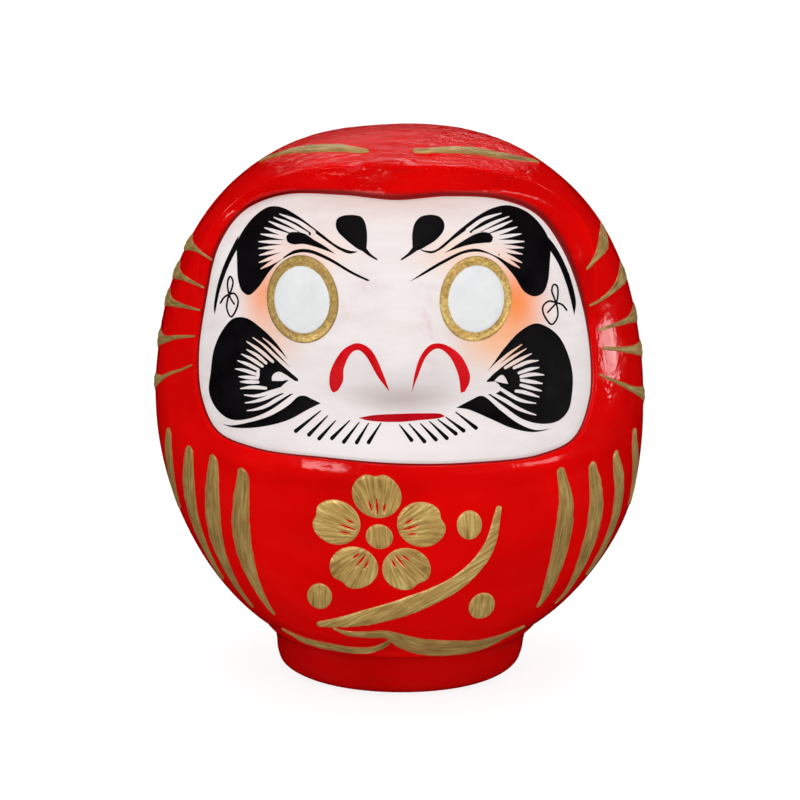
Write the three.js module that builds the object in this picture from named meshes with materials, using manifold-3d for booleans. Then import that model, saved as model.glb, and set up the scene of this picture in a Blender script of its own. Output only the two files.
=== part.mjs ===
// A roly-poly daruma doll: a moulded paper shell glued onto a round clay weight, with the
// painted coats laid over it as thin solids of their own.
// Millimetres, +Z up, the doll looks along -Y, and it stands on z = 0 centred on the Z axis.

import * as THREE from 'three'
import { mergeVertices } from 'three/addons/utils/BufferGeometryUtils.js'
import Module from 'manifold-3d'

const wasm = await Module()
wasm.setup()

// ---------------------------------------------------------------- driving dimensions

const height = 120
const halfWidth = 52.5
const halfDepth = 50.5
const waistLevel = 58                        // height of the fullest part of the belly
const crownRise = height - waistLevel
const bellyDrop = 55                         // the rounded belly would end this far below
const crownFullness = 2.35                   // superellipse exponents, 2 is a plain ellipse
const bellyFullness = 2.1

const wall = 1.8                             // moulded paper
const gap = 0.3                              // air between two coats, or a coat and the shell
const coat = 0.5                             // thickness of one brushed coat
const onShell = gap                          // a coat laid straight on the shell
const onFace = gap + coat + gap              // a mark laid on the white face coat

const weightHeight = 10
const weightTopRadius = 28.3
const weightFlatRadius = 21
const mouldOpening = 12                      // radius of the hole in the shell's floor
const stickHole = 3.5                        // radius of the blind hole for the dipping stick
const stickDepth = 6

const faceRecess = 3.2                       // the face lies this far inside the belly's curve
const hoodDrop = 4.3                         // and this much further in under the hood
const faceTop = 108
const faceAxisRise = THREE.MathUtils.degToRad(27)
const faceCentre = new THREE.Vector2(-1, 82)
const noseCentre = new THREE.Vector2(0.3, 77)
const paintedMiddle = -2.1                   // the brushwork sits a little to one side

// ---------------------------------------------------------------- materials

function paint(name, color, roughness, metalness = 0) {
  return new THREE.MeshStandardMaterial({ name, color, roughness, metalness })
}

const redLacquer = () => paint('red_lacquer', '#c80d08', 0.32)
const whiteGofun = () => paint('white_gofun', '#ecdfdc', 0.62)
const eyeGofun = () => paint('eye_white', '#e7e9ec', 0.6)
const blackInk = () => paint('black_ink', '#120f10', 0.45)
const rougeRed = () => paint('rouge_red', '#d3121b', 0.5)
const lipRed = () => paint('lip_red', '#a20a12', 0.5)
const goldPaint = () => paint('gold_paint', '#c9ac68', 0.42, 0.55)

// ---------------------------------------------------------------- the doll's surface

const middle = new THREE.Vector3(0, 0, waistLevel)

// How far out the plain rounded body lies in a direction seen from the middle of the belly.
function bodyPoint(direction) {
  const reach = direction.z > 0 ? crownRise : bellyDrop
  const fullness = direction.z > 0 ? crownFullness : bellyFullness
  const across = Math.hypot(direction.x / halfWidth, direction.y / halfDepth)
  const sum = across ** fullness + Math.abs(direction.z / reach) ** fullness
  return direction.clone().multiplyScalar(sum ** (-1 / fullness)).add(middle)
}

// Half the body's size at one level, as a share of its size at the waist.
function girth(level) {
  const reach = level > waistLevel ? crownRise : bellyDrop
  const fullness = level > waistLevel ? crownFullness : bellyFullness
  const left = Math.max(0, 1 - Math.abs((level - waistLevel) / reach) ** fullness)
  return left ** (1 / fullness)
}

function bodyFront(x, z) {
  return halfDepth * Math.sqrt(Math.max(0, girth(z) ** 2 - (x / halfWidth) ** 2))
}

function bump(x, z, width, tall) {
  return Math.exp(-((x / width) ** 2) - (z / tall) ** 2)
}

// How far forward the face lies: inside the body's curve, deepest under the hood, with a
// low nose and the bridge above it.
function faceFront(x, z) {
  const underHood = THREE.MathUtils.smoothstep(z, 90, faceTop)
  const atSides = THREE.MathUtils.smoothstep(Math.abs(x), 25, 43)
  const nose = 5 * bump(x - noseCentre.x, z - noseCentre.y, 9.5, 7.5)
  const bridge = 2.2 * bump(x, z - 90, 6, 9)
  return bodyFront(x, z) - faceRecess - hoodDrop * underHood + atSides + nose + bridge
}

function facePoint(x, z) {
  return new THREE.Vector3(x, -faceFront(x, z), z)
}

function faceNormal(x, z) {
  const step = 0.05
  const slopeX = (faceFront(x + step, z) - faceFront(x - step, z)) / (2 * step)
  const slopeZ = (faceFront(x, z + step) - faceFront(x, z - step)) / (2 * step)
  return new THREE.Vector3(-slopeX, -1, -slopeZ).normalize()
}

function bodyNormal(direction) {
  const side = new THREE.Vector3(direction.y, -direction.x, 0)
  if (side.lengthSq() < 1e-9) {
    return new THREE.Vector3(0, 0, Math.sign(direction.z))
  }
  side.normalize()
  const rise = new THREE.Vector3().crossVectors(side, direction).normalize()
  const step = 0.002
  const along = (axis, sign) => bodyPoint(direction.clone().addScaledVector(axis, sign * step))
  const acrossSide = along(side, 1).sub(along(side, -1))
  const acrossRise = along(rise, 1).sub(along(rise, -1))
  const normal = new THREE.Vector3().crossVectors(acrossSide, acrossRise).normalize()
  return normal.dot(direction) < 0 ? normal.negate() : normal
}

// ---------------------------------------------------------------- outline of the face

// Round the opening of the hood, starting at the notch over the brow and going clockwise
// as the viewer sees it: x to the viewer's right and z up.
const hoodOpening = new THREE.CatmullRomCurve3([
  [-1, 107.3], [10, 107.9], [21, 106.8], [29, 103.2], [34.4, 96], [38.2, 85], [39.7, 73.5],
  [39.2, 66], [36, 59.2], [29, 56.8], [15, 56.4], [0, 56.6], [-15, 57.4], [-30, 58],
  [-38, 60.2], [-41.2, 66], [-42, 75], [-40.3, 87], [-38, 97], [-33, 103.6], [-24.5, 107.3],
  [-12, 108],
].map(([x, z]) => new THREE.Vector3(x, 0, z)), true, 'centripetal')

// The hood stands proud of the face by a rim that is broad over the brow and narrow below.
function rimWidth(x, z) {
  const overBrow = THREE.MathUtils.smoothstep(z, 98, faceTop)
  const towardsMiddle = 1 - THREE.MathUtils.smoothstep(Math.abs(x), 14, 34)
  return 3 + 2.8 * overBrow * towardsMiddle
}

// ---------------------------------------------------------------- solids

function toManifold(geometry) {
  const plain = geometry.clone()
  plain.deleteAttribute('normal')
  plain.deleteAttribute('uv')
  const merged = mergeVertices(plain, 1e-4)
  return new wasm.Manifold(new wasm.Mesh({
    numProp: 3,
    vertProperties: new Float32Array(merged.attributes.position.array),
    triVerts: new Uint32Array(merged.index.array),
  }))
}

function toGeometry(solid) {
  const mesh = solid.getMesh()
  const geometry = new THREE.BufferGeometry()
  geometry.setAttribute('position', new THREE.BufferAttribute(mesh.vertProperties, 3))
  geometry.setIndex(new THREE.BufferAttribute(mesh.triVerts, 1))
  geometry.computeVertexNormals()
  return geometry
}

// A closed solid skinned over loops of points that all run the same way round. The first
// and the last loop may be a single point.
function loft(loops) {
  const positions = []
  const starts = []
  for (const loop of loops) {
    starts.push(positions.length / 3)
    loop.forEach((point) => positions.push(point.x, point.y, point.z))
  }
  const index = []
  for (let i = 0; i + 1 < loops.length; i += 1) {
    const count = Math.max(loops[i].length, loops[i + 1].length)
    const here = (k) => starts[i] + (loops[i].length === 1 ? 0 : k % count)
    const next = (k) => starts[i + 1] + (loops[i + 1].length === 1 ? 0 : k % count)
    for (let k = 0; k < count; k += 1) {
      if (loops[i + 1].length > 1) {
        index.push(here(k), next(k), next(k + 1))
      }
      if (loops[i].length > 1) {
        index.push(here(k), next(k + 1), here(k + 1))
      }
    }
  }
  const geometry = new THREE.BufferGeometry()
  geometry.setAttribute('position', new THREE.Float32BufferAttribute(positions, 3))
  geometry.setIndex(isInsideOut(positions, index) ? index.reverse() : index)
  return toManifold(geometry)
}

function isInsideOut(positions, index) {
  const corner = (k) => new THREE.Vector3().fromArray(positions, 3 * index[k])
  let volume = 0
  for (let k = 0; k < index.length; k += 3) {
    volume += corner(k).dot(corner(k + 1).cross(corner(k + 2)))
  }
  return volume < 0
}

// Loops over the face alone, from its centre out to a share of the hood opening.
function faceLoops(lift, rings, around, share) {
  const edge = Array.from({ length: around }, (_, k) => hoodOpening.getPointAt(k / around))
  const place = (x, z) => facePoint(x, z).addScaledVector(faceNormal(x, z), lift)
  const loops = [[place(faceCentre.x, faceCentre.y)]]
  for (let i = 1; i <= rings; i += 1) {
    const s = (share * i) / rings
    loops.push(edge.map((point) => place(
      faceCentre.x + s * (point.x - faceCentre.x),
      faceCentre.y + s * (point.z - faceCentre.y),
    )))
  }
  return loops
}

// A point on the crest of the rim, straight out from a point of the hood opening.
function crestPoint(share) {
  const point = hoodOpening.getPointAt(share)
  const tangent = hoodOpening.getTangentAt(share)
  const width = rimWidth(point.x, point.z)
  const x = point.x - tangent.z * width
  const z = point.z + tangent.x * width
  return new THREE.Vector3(x, -bodyFront(x, z), z)
}

// Loops over the hood and belly, from the crest of the rim to the pole behind.
function bodyLoops(lift, rings, around) {
  const pole = new THREE.Vector3(0, Math.cos(faceAxisRise), -Math.sin(faceAxisRise))
  const place = (direction) => bodyPoint(direction).addScaledVector(bodyNormal(direction), lift)
  const starts = Array.from({ length: around }, (_, k) => crestPoint(k / around)
    .sub(middle).normalize())
  const loops = []
  for (let i = 0; i < rings; i += 1) {
    loops.push(starts.map((start) => {
      const wholeTurn = new THREE.Quaternion().setFromUnitVectors(start, pole)
      const turn = new THREE.Quaternion().slerp(wholeTurn, i / rings)
      return place(start.clone().applyQuaternion(turn))
    }))
  }
  loops.push([place(pole)])
  return loops
}

// The whole outside of the doll above the weight, moved out by a lift or in by a minus one.
function skin(lift, around = 60, faceRings = 9, bodyRings = 13) {
  const face = faceLoops(lift, faceRings, around, 1)
  const body = bodyLoops(lift, bodyRings, around)
  return loft([...face, ...body])
}

// A thin pad lying on the face between two lifts.
function facePad(lift, thickness, share) {
  const outer = faceLoops(lift + thickness, 9, 60, share)
  const inner = faceLoops(lift, 9, 60, share).reverse()
  return loft([...outer, ...inner])
}

function box(width, depth, tall, x, y, z) {
  return toManifold(new THREE.BoxGeometry(width, depth, tall).translate(x, y, z))
}

function upright(radius, bottom, top) {
  const geometry = new THREE.CylinderGeometry(radius, radius, top - bottom, 32)
  return toManifold(geometry.rotateX(Math.PI / 2).translate(0, 0, (top + bottom) / 2))
}

// ---------------------------------------------------------------- shell and weight

function bodyShell() {
  const below = (level) => box(200, 200, 100, 0, 0, level - 50)
  const outside = skin(0).subtract(below(weightHeight))
  const hollow = skin(-wall, 36, 6, 9).subtract(below(weightHeight + wall))
  return outside.subtract(hollow).subtract(upright(mouldOpening, 0, 40))
}

// A solid clay disc that rounds out like a bowl from its flat underside.
function baseWeight() {
  const top = weightHeight - gap
  const flare = weightTopRadius - weightFlatRadius
  const steps = 7
  const profile = [new THREE.Vector2(0, stickDepth), new THREE.Vector2(stickHole, stickDepth),
    new THREE.Vector2(stickHole, 0)]
  for (let i = 0; i <= steps; i += 1) {
    const angle = (i / steps) * (Math.PI / 2)
    const radius = weightFlatRadius + flare * Math.sin(angle)
    profile.push(new THREE.Vector2(radius, top * (1 - Math.cos(angle))))
  }
  profile.push(new THREE.Vector2(0, top))
  return toManifold(new THREE.LatheGeometry(profile, 48).rotateX(Math.PI / 2))
}

// ---------------------------------------------------------------- flat shapes for brushwork

// A closed outline made of smooth runs; each run ends in a corner where the next begins.
function outline(...runs) {
  const shape = new THREE.Shape()
  shape.moveTo(...runs[0][0])
  for (const run of runs) {
    const rest = run.slice(1).map(([x, z]) => new THREE.Vector2(x, z))
    if (rest.length === 1) {
      shape.lineTo(rest[0].x, rest[0].y)
    } else {
      shape.splineThru(rest)
    }
  }
  return shape
}

function oval(x, z, halfX, halfZ) {
  const shape = new THREE.Shape()
  shape.absellipse(x, z, halfX, halfZ, 0, 2 * Math.PI)
  return shape
}

// The width of a stroke part of the way along its points, each of which ends in a width.
function widthAt(points, share) {
  const place = share * (points.length - 1)
  const k = Math.min(points.length - 2, Math.floor(place))
  return THREE.MathUtils.lerp(points[k][2], points[k + 1][2], place - k)
}

// A brush stroke along a line of [x, z, width] points.
function stroke(points) {
  const line = new THREE.SplineCurve(points.map(([x, z]) => new THREE.Vector2(x, z)))
  const count = 3 * points.length
  const left = []
  const right = []
  for (let i = 0; i <= count; i += 1) {
    const at = line.getPoint(i / count)
    const along = line.getTangent(i / count)
    const half = widthAt(points, i / count) / 2
    left.push(new THREE.Vector2(at.x - along.y * half, at.y + along.x * half))
    right.push(new THREE.Vector2(at.x + along.y * half, at.y - along.x * half))
  }
  return new THREE.Shape([...left, ...right.reverse()])
}

// The shape pushed from front to back through the whole doll.
function prism(shape, side, shift, segments = 2) {
  const geometry = new THREE.ExtrudeGeometry(shape, {
    depth: 80,
    bevelEnabled: false,
    curveSegments: segments,
  })
  geometry.rotateX(Math.PI / 2)
  const solid = toManifold(geometry)
  return (side < 0 ? solid.mirror([1, 0, 0]) : solid).translate([shift, 0, 0])
}

// ---------------------------------------------------------------- marks on the face
// Written for the viewer's right side, from the middle outwards, and mirrored for the left.

const eyeCentre = [17.6, 88.4]
const eyeRingOuter = [7.35, 8.2]
const eyeWhiteSize = [5.6, 6.2]

function eyeWhite() {
  return oval(...eyeCentre, ...eyeWhiteSize)
}

function eyeRing() {
  const ring = oval(...eyeCentre, ...eyeRingOuter)
  ring.holes.push(oval(...eyeCentre, eyeWhiteSize[0] + gap, eyeWhiteSize[1] + gap))
  return ring
}

function brow() {
  return outline(
    [[8.2, 97.2], [11.5, 99], [15, 101.3], [19, 103.5], [23.5, 105], [27.5, 103.8],
      [31.5, 100], [32.3, 96], [31.8, 91.5], [29.8, 88.3], [27.6, 89.4], [25.9, 91.7],
      [23.2, 94.8], [20, 96.8], [16.5, 97.4], [11.5, 95.5], [4.2, 92.3]],
    [[4.2, 92.3], [11.5, 96.5], [16.5, 98], [18.6, 98.2]],
    [[18.6, 98.2], [15, 97.8], [10.8, 97.1]],
    [[10.8, 97.1], [14, 99], [17.4, 100.2]],
    [[17.4, 100.2], [13.5, 99.3], [8.2, 97.2]],
  )
}

function browDrop() {
  return outline(
    [[4.6, 97.8], [4.6, 101], [5.2, 103], [7.3, 104.1], [9.6, 103.8], [10.8, 102.3],
      [9.6, 100.4], [7.2, 98.8], [4.6, 97.8]],
  )
}

function templeLine() {
  return stroke([[33.8, 96, 1.3], [35.4, 92.6, 1.5], [36.5, 89.4, 1.3], [36.9, 84, 0.5]])
}

function earCurl() {
  return stroke([[33.8, 91, 0.6], [34.6, 88.4, 0.8], [34, 85.6, 0.8], [32.4, 84.6, 0.8],
    [31.6, 86, 0.6]])
}

function beard() {
  return outline(
    [[18.9, 73.8], [20.9, 77], [23.6, 80], [27, 82.8], [30.6, 83.9], [33.6, 81.4],
      [36, 77.8], [37.2, 72.5], [37, 67], [35, 63.9], [31.5, 63.2], [27.5, 64.3],
      [23.8, 66.8], [19.8, 69.6]],
    [[19.8, 69.6], [22.5, 69.2], [24.4, 69.6]],
    [[24.4, 69.6], [21.8, 70.8], [18.7, 72.3]],
    [[18.7, 72.3], [20.8, 73.8], [23, 75.6]],
    [[23, 75.6], [21, 75.3], [18.9, 73.8]],
  )
}

function moustache() {
  return outline(
    [[13.5, 67.7], [18.4, 65.7], [22.4, 63.2], [26.6, 61.7], [30.2, 61.2], [33.8, 61.6]],
    [[33.8, 61.6], [29, 62.2], [25, 63.6], [21.6, 65.8], [18.6, 68.4], [16.6, 68.6],
      [13.5, 67.7]],
  )
}

function nostril() {
  return outline(
    [[2.1, 71.7], [3.2, 75.6], [4.9, 79], [7.5, 80.8], [10.4, 80], [12.9, 77.3], [14, 74],
      [13.2, 70.5]],
    [[13.2, 70.5], [11.8, 72], [11.2, 75], [9.8, 78.3], [7.6, 79.5], [5.5, 78.2],
      [3.9, 75.2], [2.1, 71.7]],
  )
}

function mouth() {
  return outline(
    [[-8.5, 65.6], [-4, 66.4], [0, 66.7], [5, 66.6], [8.9, 66]],
    [[8.9, 66], [5, 65.3], [0, 65.1], [-4, 65.3], [-8.5, 65.6]],
  )
}

// ---------------------------------------------------------------- gold strokes on the body

// A point on the body from the turn away from the front, in degrees, and the level.
function onBody(turn, level, lift) {
  const angle = THREE.MathUtils.degToRad(turn)
  const point = new THREE.Vector3(
    halfWidth * girth(level) * Math.sin(angle),
    -halfDepth * girth(level) * Math.cos(angle),
    level,
  )
  const direction = point.clone().sub(middle).normalize()
  return point.addScaledVector(bodyNormal(direction), lift)
}

// A raised stroke along [turn, level, width] points: a flat band that follows the body.
function goldStroke(points, side) {
  const line = new THREE.CatmullRomCurve3(
    points.map(([turn, level]) => onBody(turn * side, level, 0)), false, 'centripetal',
  )
  const count = 2 * points.length
  const loops = []
  for (let i = 0; i <= count; i += 1) {
    const at = line.getPoint(i / count)
    const normal = bodyNormal(at.clone().sub(middle).normalize())
    const across = new THREE.Vector3().crossVectors(line.getTangent(i / count), normal)
    const half = widthAt(points, i / count) / 2
    const corner = (sideways, lift) => {
      const edge = at.clone().addScaledVector(across.normalize(), sideways * half)
      const direction = edge.sub(middle).normalize()
      return bodyPoint(direction).addScaledVector(bodyNormal(direction), lift)
    }
    const bottom = onShell
    const top = onShell + coat
    loops.push([corner(-1, bottom), corner(1, bottom), corner(1, top), corner(-1, top)])
  }
  return loft([[centroid(loops[0])], ...loops, [centroid(loops[count])]])
}

function centroid(loop) {
  const sum = loop.reduce((total, point) => total.add(point), new THREE.Vector3())
  return sum.divideScalar(loop.length)
}

// Rays that flare away from the opening of the hood towards the sides, painted freehand, so the
// two sides differ a little.
const rays = {
  left: [
    [[61, 94.2, 0.6], [74, 95, 1.3], [81, 94.9, 2.8], [92, 94.4, 4.6]],
    [[60, 88.6, 0.6], [70, 89, 1.3], [78, 88.9, 3], [92, 88.6, 4.6]],
    [[60, 84, 0.7], [69, 83.7, 1.4], [76, 83.3, 3], [92, 82.6, 4.6]],
    [[60, 78.3, 0.7], [68, 77, 1.4], [75, 75.6, 3.4], [92, 73.4, 4.8]],
    [[60, 71.7, 0.6], [68, 69.4, 1.1], [75, 67.2, 3.4], [92, 63.6, 4.8]],
  ],
  right: [
    [[60, 93.2, 1.1], [66, 94.5, 2.4], [73, 95.8, 3.8], [82, 97.2, 3.2], [90, 98.2, 1.6]],
    [[60, 86.1, 0.8], [66, 86.9, 1.7], [73, 87.7, 3.4], [90, 88.8, 4.6]],
    [[60, 80.3, 0.8], [69, 80.1, 1.4], [76, 79.9, 3.2], [92, 79.2, 4.6]],
    [[60, 75.7, 0.9], [70, 74.1, 1.8], [77, 73.1, 3.2], [92, 71, 4.6]],
    [[60, 68.9, 1.1], [63.5, 67.7, 1.5], [70, 65.7, 2.8], [92, 60.4, 4.8]],
  ],
}

// The folds of the robe, broad at the top and running out towards the foot.
const folds = {
  left: [
    [[38.1, 53.6, 2.4], [38.7, 50.9, 3.9], [42.2, 41, 5.4], [44.6, 30, 3.7], [45.3, 18.6, 0.8]],
    [[47.1, 55.2, 2.4], [48, 52.4, 3.9], [53, 39.6, 5.3], [56.6, 28, 4.3], [57, 18.6, 1.2]],
    [[56.4, 55.6, 2.5], [57.6, 53, 4.4], [63.3, 40.5, 5.6], [66.3, 28.5, 3.8],
      [67.4, 23.6, 1.8]],
    [[67.6, 57.6, 2.8], [69.2, 54, 4.8], [74, 43.4, 4.8], [75.6, 38.6, 2.8]],
  ],
  right: [
    [[38, 53.8, 1.6], [39.3, 50.6, 3], [41.6, 41, 4.9], [44, 28.8, 4.2], [46.4, 20.4, 1.2]],
    [[48.5, 53.6, 2], [49.3, 51, 4], [53.2, 39.4, 5.3], [57, 26.6, 4.2], [57.8, 19.4, 1]],
    [[59, 54.3, 2.4], [59.8, 51.4, 4.6], [65.8, 38.4, 5.6], [67.2, 24.6, 2]],
    [[71.3, 57, 2.8], [72.2, 53.4, 4.8], [77.5, 43.5, 4.4], [79, 38.5, 2.2]],
  ],
}

// A line along the top of the hood on either side of the middle.
const crownLine = {
  left: [[16.9, 116.5, 1.6], [30, 116.7, 4], [42, 116.7, 4.1], [67, 115.7, 2.8],
    [88, 112.2, 1]],
  right: [[6.8, 116.5, 1.5], [20, 116.6, 3.2], [42, 116.3, 3.3], [66, 114.2, 1.8],
    [82, 112.4, 1]],
}

// Two waves of the robe's hem, which cross under the belly.
const upperWave = [[-21, 17.2, 0.6], [-8, 16.9, 1.6], [0, 15.6, 2.4], [9, 13.6, 3.2],
  [24, 12, 3.6], [40, 12.4, 3.2], [51, 14.9, 1]]
const lowerWave = [[-51, 13.8, 0.8], [-38, 12, 2.6], [-24, 11.7, 2.8], [-13, 12, 2],
  [-8, 13.4, 0.8]]

// ---------------------------------------------------------------- the flowering sprig

const blossom = { x: -5, z: 40.9, reach: 9.2, petal: 5, heart: 2.8 }
const twig = [[-17, 18.6, 1.6], [-9, 20.9, 4], [1, 24.6, 4.4], [11, 30.2, 3.6], [17, 37.5, 2.6],
  [19.6, 46.5, 1.2]]
const buds = [[13.4, 43.4, 3.2], [16.4, 23.6, 3.4], [-17.4, 26, 3.2]]

function petal(k) {
  const angle = Math.PI / 2 + (k * 2 * Math.PI) / 5
  const x = blossom.x + blossom.reach * Math.cos(angle)
  const z = blossom.z + blossom.reach * Math.sin(angle)
  return oval(x, z, blossom.petal, blossom.petal)
}

// ---------------------------------------------------------------- the doll

const doll = new THREE.Group()
doll.name = 'daruma_doll'

function group(name) {
  const part = new THREE.Group()
  part.name = name
  doll.add(part)
  return part
}

function add(parent, name, solid, material) {
  const mesh = new THREE.Mesh(toGeometry(solid), material)
  mesh.name = name
  parent.add(mesh)
}

const moulding = group('moulding')
add(moulding, 'body_shell', bodyShell(), redLacquer())
add(moulding, 'base_weight', baseWeight(), redLacquer())

const face = group('painted_face')
add(face, 'face_coat', facePad(onShell, coat, 0.975), whiteGofun())

const faceLayer = facePad(onFace, coat, 1)
const sides = [['left', -1], ['right', 1]]
for (const [name, side] of sides) {
  const mark = (shape, shift = paintedMiddle, segments = 2) => prism(shape, side, shift, segments)
    .intersect(faceLayer)
  add(face, `eye_white_${name}`, mark(eyeWhite(), paintedMiddle, 16), eyeGofun())
  add(face, `eye_ring_${name}`, mark(eyeRing(), paintedMiddle, 16), goldPaint())
  add(face, `brow_${name}`, mark(brow()), blackInk())
  add(face, `brow_drop_${name}`, mark(browDrop()), blackInk())
  add(face, `temple_line_${name}`, mark(templeLine()), blackInk())
  add(face, `ear_curl_${name}`, mark(earCurl()), blackInk())
  add(face, `beard_${name}`, mark(beard()), blackInk())
  add(face, `moustache_${name}`, mark(moustache()), blackInk())
  add(face, `nostril_${name}`, mark(nostril(), noseCentre.x), rougeRed())
}
add(face, 'mouth', prism(mouth(), 1, 0).intersect(faceLayer), lipRed())

const robe = group('gold_robe')
for (const [name, side] of sides) {
  const gild = (label, points) => add(robe, `${label}_${name}`, goldStroke(points, side), goldPaint())
  rays[name].forEach((points, k) => gild(`ray_${k + 1}`, points))
  folds[name].forEach((points, k) => gild(`fold_${k + 1}`, points))
  gild('crown_line', crownLine[name])
}
add(robe, 'hem_wave_upper', goldStroke(upperWave, 1), goldPaint())
add(robe, 'hem_wave_lower', goldStroke(lowerWave, 1), goldPaint())

const sprig = group('gold_sprig')
const shellLayer = skin(onShell + coat).subtract(skin(onShell))
const onBelly = (shape, segments) => prism(shape, 1, 0, segments).intersect(shellLayer)
for (let k = 0; k < 5; k += 1) {
  add(sprig, `petal_${k + 1}`, onBelly(petal(k), 8), goldPaint())
}
const heart = oval(blossom.x, blossom.z, blossom.heart, blossom.heart)
add(sprig, 'blossom_heart', onBelly(heart, 6), goldPaint())
add(sprig, 'twig', onBelly(stroke(twig)), goldPaint())
buds.forEach(([x, z, radius], k) => {
  add(sprig, `bud_${k + 1}`, onBelly(oval(x, z, radius * 0.8, radius), 6), goldPaint())
})

export default doll
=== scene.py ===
"""A roly-poly daruma doll: lacquered paper shell, clay foot, brushed ink and gold."""

import math

import bmesh
import bpy
import numpy as np
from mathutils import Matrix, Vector
from mathutils.geometry import delaunay_2d_cdt


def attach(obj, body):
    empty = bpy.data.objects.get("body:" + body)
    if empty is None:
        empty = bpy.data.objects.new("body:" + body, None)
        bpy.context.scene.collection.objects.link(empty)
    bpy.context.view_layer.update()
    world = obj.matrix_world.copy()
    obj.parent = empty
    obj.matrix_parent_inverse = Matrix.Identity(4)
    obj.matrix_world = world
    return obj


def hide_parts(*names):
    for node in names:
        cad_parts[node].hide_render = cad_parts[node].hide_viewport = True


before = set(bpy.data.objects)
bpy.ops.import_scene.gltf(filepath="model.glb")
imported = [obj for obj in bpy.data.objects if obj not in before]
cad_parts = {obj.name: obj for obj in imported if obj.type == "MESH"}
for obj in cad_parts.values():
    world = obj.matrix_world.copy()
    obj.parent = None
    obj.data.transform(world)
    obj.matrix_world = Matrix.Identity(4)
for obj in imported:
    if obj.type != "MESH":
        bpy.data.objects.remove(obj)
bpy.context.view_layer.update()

# ---- sizes, in millimetres

MM = 0.001
SHARP = math.radians(50)      # edges keener than this aren't shaded round

HALF_WIDTH = 52.5
HALF_DEPTH = 50.5
WAIST_LEVEL = 58.0
CROWN_RISE = 62.0
BELLY_DROP = 55.0
CROWN_FULLNESS = 2.35          # superellipse exponents, 2 is a plain ellipse
BELLY_FULLNESS = 2.1
MIDDLE = np.array([0.0, 0.0, WAIST_LEVEL])

FACE_RECESS = 3.2
HOOD_DROP = 5.2
FACE_TOP = 108.0
FACE_CENTRE = np.array([-1.0, 82.0])
FACE_AXIS_RISE = math.radians(27)
EDGE_RISE = 2.7                # the face comes forward towards its sides and chin
# soft swellings: middle x and z, half width, half height, rise
NOSE = (0.3, 77.0, 9.5, 7.5, 5.0)
BRIDGE = (0.0, 90.0, 6.0, 9.0, 2.2)
DENT_SHARE = 0.0021            # the shell's dents, as a share of how wide each one is
LEAN = 0.9                     # how far the belly leans to one side, and the left cheek swells
WRINKLE_DEPTH = 0.11           # of the creases on the crown
CHIN_LIP_RISE = 0.6            # of the soft lip below the face

FOOT_TOP = 9.85
FOOT_SIDE = ((26.0, 2.2), (26.9, 4.6), (27.2, 7.2), (27.6, 8.8), (28.4, FOOT_TOP))
FOOT_HOLLOW = ((29.5, 11), (33.2, 16))     # half widths and levels above the foot
FOOT_RADII, FOOT_LEVELS = zip(*FOOT_SIDE, *FOOT_HOLLOW)
FOOT_FLAT_RADIUS = 21.0
FOOT_EDGE = (24.0, 0.7)
STICK_HOLE_RADIUS = 3.5
STICK_HOLE_DEPTH = 6.0

COAT = 0.25                    # the white face coat over its thin edge
COAT_EDGE = 0.02               # height of that edge above the shell
INK = 0.08                     # how far a line of ink stands up from the white
INK_EDGE = 0.03
GOLD = 0.28                    # gold paint is laid on thick
GOLD_EDGE = 0.05
COAT_ROOT, PATCH_ROOT, STROKE_ROOT = -0.1, -0.06, -0.08    # undersides, sunk out of sight
RING_EDGE_TO_MIDDLE = (GOLD_EDGE, 0.22)
WHITE_EDGE_TO_MIDDLE = (0.1, 0.3)    # the white of an eye lies over its ring's inner edge

CAMERA_DISTANCE = 650.0
CAMERA_RISE = math.radians(11.2)
CAMERA_AIM = 59.9              # height on the doll's axis that the camera looks at
CAMERA_LENS = 134.2
CAMERA_SENSOR = 36


# ---- the doll's surface

def smooth(low, high, value):
    share = np.clip((value - low) / (high - low), 0, 1)
    return share * share * (3 - 2 * share)


def girth(level):
    """The body's breadth at a level, as a share of its breadth at the waist."""
    level = np.asarray(level, float)
    reach = np.where(level > WAIST_LEVEL, CROWN_RISE, BELLY_DROP)
    fullness = np.where(level > WAIST_LEVEL, CROWN_FULLNESS, BELLY_FULLNESS)
    left = np.clip(1 - np.abs((level - WAIST_LEVEL) / reach) ** fullness, 0, None)
    return left ** (1 / fullness)


def body_front(x, z):
    return HALF_DEPTH * np.sqrt(np.clip(girth(z) ** 2 - (x / HALF_WIDTH) ** 2, 0, None))


def hill(value, middle, half_width):
    """1 at the middle, falling away softly on both sides."""
    return np.exp(-(((value - middle) / half_width) ** 2))


def swelling(x, z, middle_x, middle_z, half_width, half_height, rise):
    across, up = (x - middle_x) / half_width, (z - middle_z) / half_height
    return rise * np.exp(-(across ** 2) - up ** 2)


def face_front(x, z):
    """How far forward the face lies at a place seen from the front."""
    under_hood = smooth(90, FACE_TOP, z)
    at_edges = EDGE_RISE * (1 - (1 - smooth(25, 43, np.abs(x))) * (1 - smooth(70, 57, z)))
    nose, bridge = swelling(x, z, *NOSE), swelling(x, z, *BRIDGE)
    return body_front(x, z) - FACE_RECESS - HOOD_DROP * under_hood + at_edges + nose + bridge


def unevenness(points):
    """Soft dents and swellings of a shell moulded and brushed by hand, in mm."""
    chance = np.random.default_rng(12)
    total = np.zeros(points.shape[:-1])
    for wavelength in np.linspace(16, 52, 11):
        way = chance.normal(size=3)
        way *= 2 * math.pi / wavelength / np.linalg.norm(way)
        total += DENT_SHARE * wavelength * np.sin(points @ way + chance.uniform(0, 6.3))
    return total


def sway(point):
    """How far the hand-made shell leans to one side, and how its left cheek swells."""
    swell = np.clip(-point[..., 0] / HALF_WIDTH, 0, 1) ** 2
    return LEAN * hill(point[..., 2], 34, 17) - LEAN * swell * hill(point[..., 2], 80, 30)


def foot_radius(level):
    """The foot's half width, and above it the soft hollow where the belly comes down to it."""
    return np.interp(level, FOOT_LEVELS, FOOT_RADII)


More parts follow.
